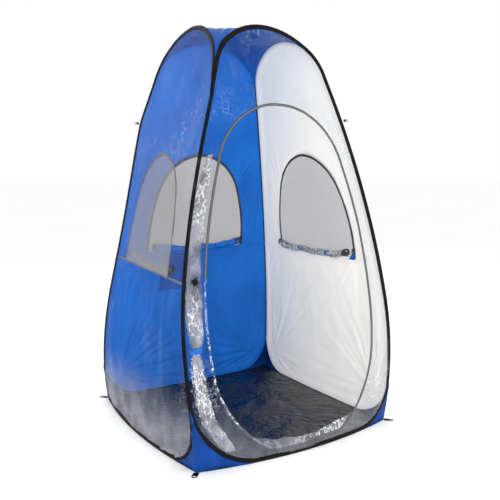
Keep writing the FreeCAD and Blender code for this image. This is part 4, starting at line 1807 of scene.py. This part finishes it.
@dataclass
class GroundPieces:
    """Blue corner gussets, the woven floor and the webbing loops.

    Attributes:
        gusset_top: Height of a gusset beside a hoop with the usual ground corner.
        gusset_flat: Width and length of a gusset's cut.
    """

    gusset_top: float = 0.200
    gusset_flat: tuple = (0.30, 0.20)

    def half_gusset(self, corner: float) -> Array:
        """Skin on the front face, from the hoop's round corner out to the corner's edge.

        Args:
            corner: Radius of the hoop's ground corner.

        Returns:
            A grid of nominal points, with heights in the first place.
        """
        z = np.linspace(0.0, 1.0, 44) ** 1.3 * self.gusset_top * corner / POD.hoop_corner
        outline = POD.half_hoop(corner)
        edge = -np.interp(np.maximum(z, 1e-4), outline[:, 1], outline[:, 0])
        edge[0] = POD.ground_half(corner)
        edge = np.minimum(edge - 4.0 * MM, POD.half_width(z) - 2.0 * MM)
        share = np.linspace(0.0, 1.0, 24)[None, :]
        x = -(edge[:, None] * (1.0 - share) + POD.half_width(z)[:, None] * share)
        z = np.broadcast_to(z[:, None], x.shape)
        ripple = 8.0 * MM * noise(x, z, (0.06, 0.030), 80) * np.sin(share * math.pi)
        return POD.nominal(Side.FRONT, x, z, ripple)

    def gusset(self, turn: Side) -> Array:
        """Skin from one hoop's round corner, out to the corner's edge, and back to the next hoop."""
        here = self.half_gusset(POD.slack_corner if turn is Side.FRONT else POD.hoop_corner)
        beside = self.half_gusset(POD.hoop_corner)
        beside = np.stack([beside[..., 1], beside[..., 0], beside[..., 2]], axis=-1)
        both = np.concatenate([here, beside[:, ::-1][:, 1:]], axis=1)
        return POD.settle(both @ turn_about_z(turn).T)

    def floor(self) -> Array:
        """Floor sheet: creases that lift it a few millimetres, flat again at its edges."""
        half = float(POD.half_width(0.0)) + 3.0 * MM
        x, y = np.meshgrid(np.linspace(-half, half, 170), np.linspace(-half, half, 170), indexing="ij")
        inside = np.minimum(half - np.abs(x), half - np.abs(y))
        lift = 7.0 * MM * np.abs(noise(x, y, 0.16, 85)) + 5.0 * MM * np.abs(pleats(x, y, 38.0, 0.3, 0.05, 86))
        lift = lift + 3.0 * MM * np.abs(pleats(x, y, -50.0, 0.22, 0.03, 87))
        z = 1.2 * MM + lift * smooth(inside, 0.0, 0.10)
        return POD.settle(np.stack([x, y, z], axis=-1))

    def build(self) -> None:
        """Make the gussets, floor and loops."""
        for name, turn in CORNERS.items():
            grid = self.gusset(turn)
            made = piece(name + "_gusset_cloth", grid, SHADED_GUSSET_BLUE, "shell", "blue_cloth",
                         ["gusset_" + name], seal=True, thick=0.8 * MM)
            cut_sheet(made, self.gusset_flat, grid_area(grid))
            for word, node in (("peg", "peg_loop_" + name), ("tie_out", "tie_out_" + name)):
                copied(f"{name}_{word}_webbing", node, BINDING, node + "_body", 0.5 * MM)
        made = piece("floor_tarpaulin", self.floor(), TARP, "shell", "tarpaulin", ["floor_sheet"],
                     thick=0.6 * MM)
        half = float(POD.half_width(0.0))


@dataclass
class SmallParts:
    """Sliders, pulls, the right window's corner patches and the pocket on the back panel.

    Attributes:
        pocket_x: Places of the pocket's sides.
        pocket_z: Heights of its foot and top.
        patch_wide: Width of a corner patch.
        patch_high: Height of one.
        patch_cut: Area of its cut.
    """

    pocket_x: tuple = (0.040, 0.230)
    pocket_z: tuple = (0.570, 0.780)
    patch_wide: float = 0.044
    patch_high: float = 0.050
    patch_cut: float = 0.0012

    def build(self) -> None:
        """Make the small pieces."""
        zips = [(side.word + "_window", "window_", "_" + side.word) for side in WINDOW_SIDES]
        zips.append(("door_zip", "door_", ""))
        kinds = (("slider", SLIDER, "zip_metal", 0.5 * MM), ("pull", PULL, "pull_plastic", 0.4 * MM))
        for name, before, after in zips:
            for kind, finish, slot, bevel in kinds:
                node = before + kind + after
                copied(f"{name}_{kind}", node, finish, node + "_body", bevel)
        self.build_pocket()
        self.build_corners()

    def build_pocket(self) -> None:
        """Flat patch pocket under the back window."""
        x, z = np.meshgrid(np.linspace(*self.pocket_x, 30), np.linspace(*self.pocket_z, 30), indexing="ij")
        out = FACES[Side.BACK].slack(x, z) - 2.2 * MM
        made = piece("back_patch_pocket", POD.place(Side.BACK, x, z, out), ROOF_BLUE, "shell", "blue_cloth",
                     ["pocket_back"], thick=0.6 * MM)

    def build_corners(self) -> None:
        """Blue triangles at the lower corners of the right window, as two sheets."""
        for sign, end in ((-1.0, "left"), (1.0, "right")):
            a, b = np.meshgrid(np.linspace(0.0, 1.0, 12), np.linspace(0.0, 1.0, 12), indexing="ij")
            x = sign * (POD.sill_half - self.patch_wide * a * (1.0 - b))
            z = POD.sill_z - 6.0 * MM + self.patch_high * b + 0.0 * a
            grid = POD.place(Side.RIGHT, x, z, FACES[Side.RIGHT].slack(x, z) - 3.4 * MM)
            nodes = ["window_corners_right"] if sign < 0 else []
            made = piece(f"right_window_corner_{end}", grid, BLUE, "shell", "blue_cloth", nodes, seal=True,
                         thick=0.7 * MM)
            flat = (self.patch_wide, self.patch_high)
            cut_sheet(made, flat, self.patch_cut)


@dataclass
class Studio:
    """Pale floor, soft lights and the camera.

    Attributes:
        eye: Place of the camera.
        turn: Its heading, in degrees from +y towards -x.
        tilt: How far it looks down, in degrees.
        lens: Focal length, in millimetres.
        lights: Name, place, size and power of each light, and whether it is seen in gloss.
    """

    eye: tuple = (-1.7617, -2.8603, 1.295)
    turn: float = -32.69
    tilt: float = 7.58
    lens: float = 47.3
    lights: tuple = (
        ("key_light", (-2.6, -3.9, 1.0), 2.2, 150.0, False),
        ("fill_light", (3.4, -2.6, 0.9), 2.0, 62.0, False),
        ("top_light", (0.4, 3.2, 3.2), 2.0, 60.0, True),
    )

    def area(self, name: str, place: tuple, size: float, power: float, seen: bool) -> None:
        """A square soft light that faces the middle of the pod, seen in gloss or not."""
        light = bpy.data.lights.new(name, "AREA")
        light.energy = power
        light.size = size
        lamp = linked(name, light)
        lamp.location = place
        lamp.visible_glossy = seen
        aim = Vector((0.0, 0.0, 0.9)) - Vector(place)
        lamp.rotation_euler = aim.to_track_quat("-Z", "Y").to_euler()

    def build(self) -> None:
        """Make the stage."""
        scene = bpy.context.scene
        scene.view_settings.view_transform = "Standard"
        scene.cycles.transparent_max_bounces = 48
        scene.world = bpy.data.worlds.new("studio")
        scene.world.use_nodes = True
        back = scene.world.node_tree.nodes["Background"]
        back.inputs["Color"].default_value = (1.0, 1.0, 1.0, 1.0)
        back.inputs["Strength"].default_value = 1.0
        graph = Graph("pale_floor")
        tone = graph.cloud(graph.place(), 0.7, 2.0).step(0.3, 0.7)
        pale, paler = colour(0.975, 0.975, 0.975), colour(0.985, 0.985, 0.985)
        shade = graph.principled(Base_Color=graph.blend(tone, pale, paler), Roughness=0.9)
        mesh = bpy.data.meshes.new("studio_floor")
        mesh.from_pydata([(-40, -40, 0), (40, -40, 0), (40, 40, 0), (-40, 40, 0)], [], [(0, 1, 2, 3)])
        mesh.materials.append(graph.finish(shade))
        linked("studio_floor", mesh)
        for light in self.lights:
            self.area(*light)
        camera = bpy.data.cameras.new("camera")
        camera.lens = self.lens
        camera.clip_end = 200.0
        view = linked("camera", camera)
        turn, tilt = math.radians(self.turn), math.radians(self.tilt)
        look = Vector((-math.sin(turn) * math.cos(tilt), math.cos(turn) * math.cos(tilt), -math.sin(tilt)))
        view.location = self.eye
        view.rotation_euler = look.to_track_quat("-Z", "Y").to_euler()
        scene.camera = view


def main() -> None:
    """Build the stage and every sub-assembly in order."""
    logging.basicConfig(level=logging.INFO, format="%(message)s")
    Studio().build()
    HoopSleeves().build()
    FrontFace().build()
    for face in FACES.values():
        face.build()
    WindowFlap(Side.LEFT, ROLL_FILM, "clear_film", 6.0 * MM, 107).build()
    WindowFlap(Side.BACK, BLUE, "blue_cloth", 10.0 * MM, 207).build()
    WindowFlap(Side.RIGHT, ROLL_FILM, "clear_film", 8.0 * MM, 307).build()
    DoorFlap().build()
    RoofCap().build()
    GroundPieces().build()
    SmallParts().build()


if __name__ == "__main__":
    main()
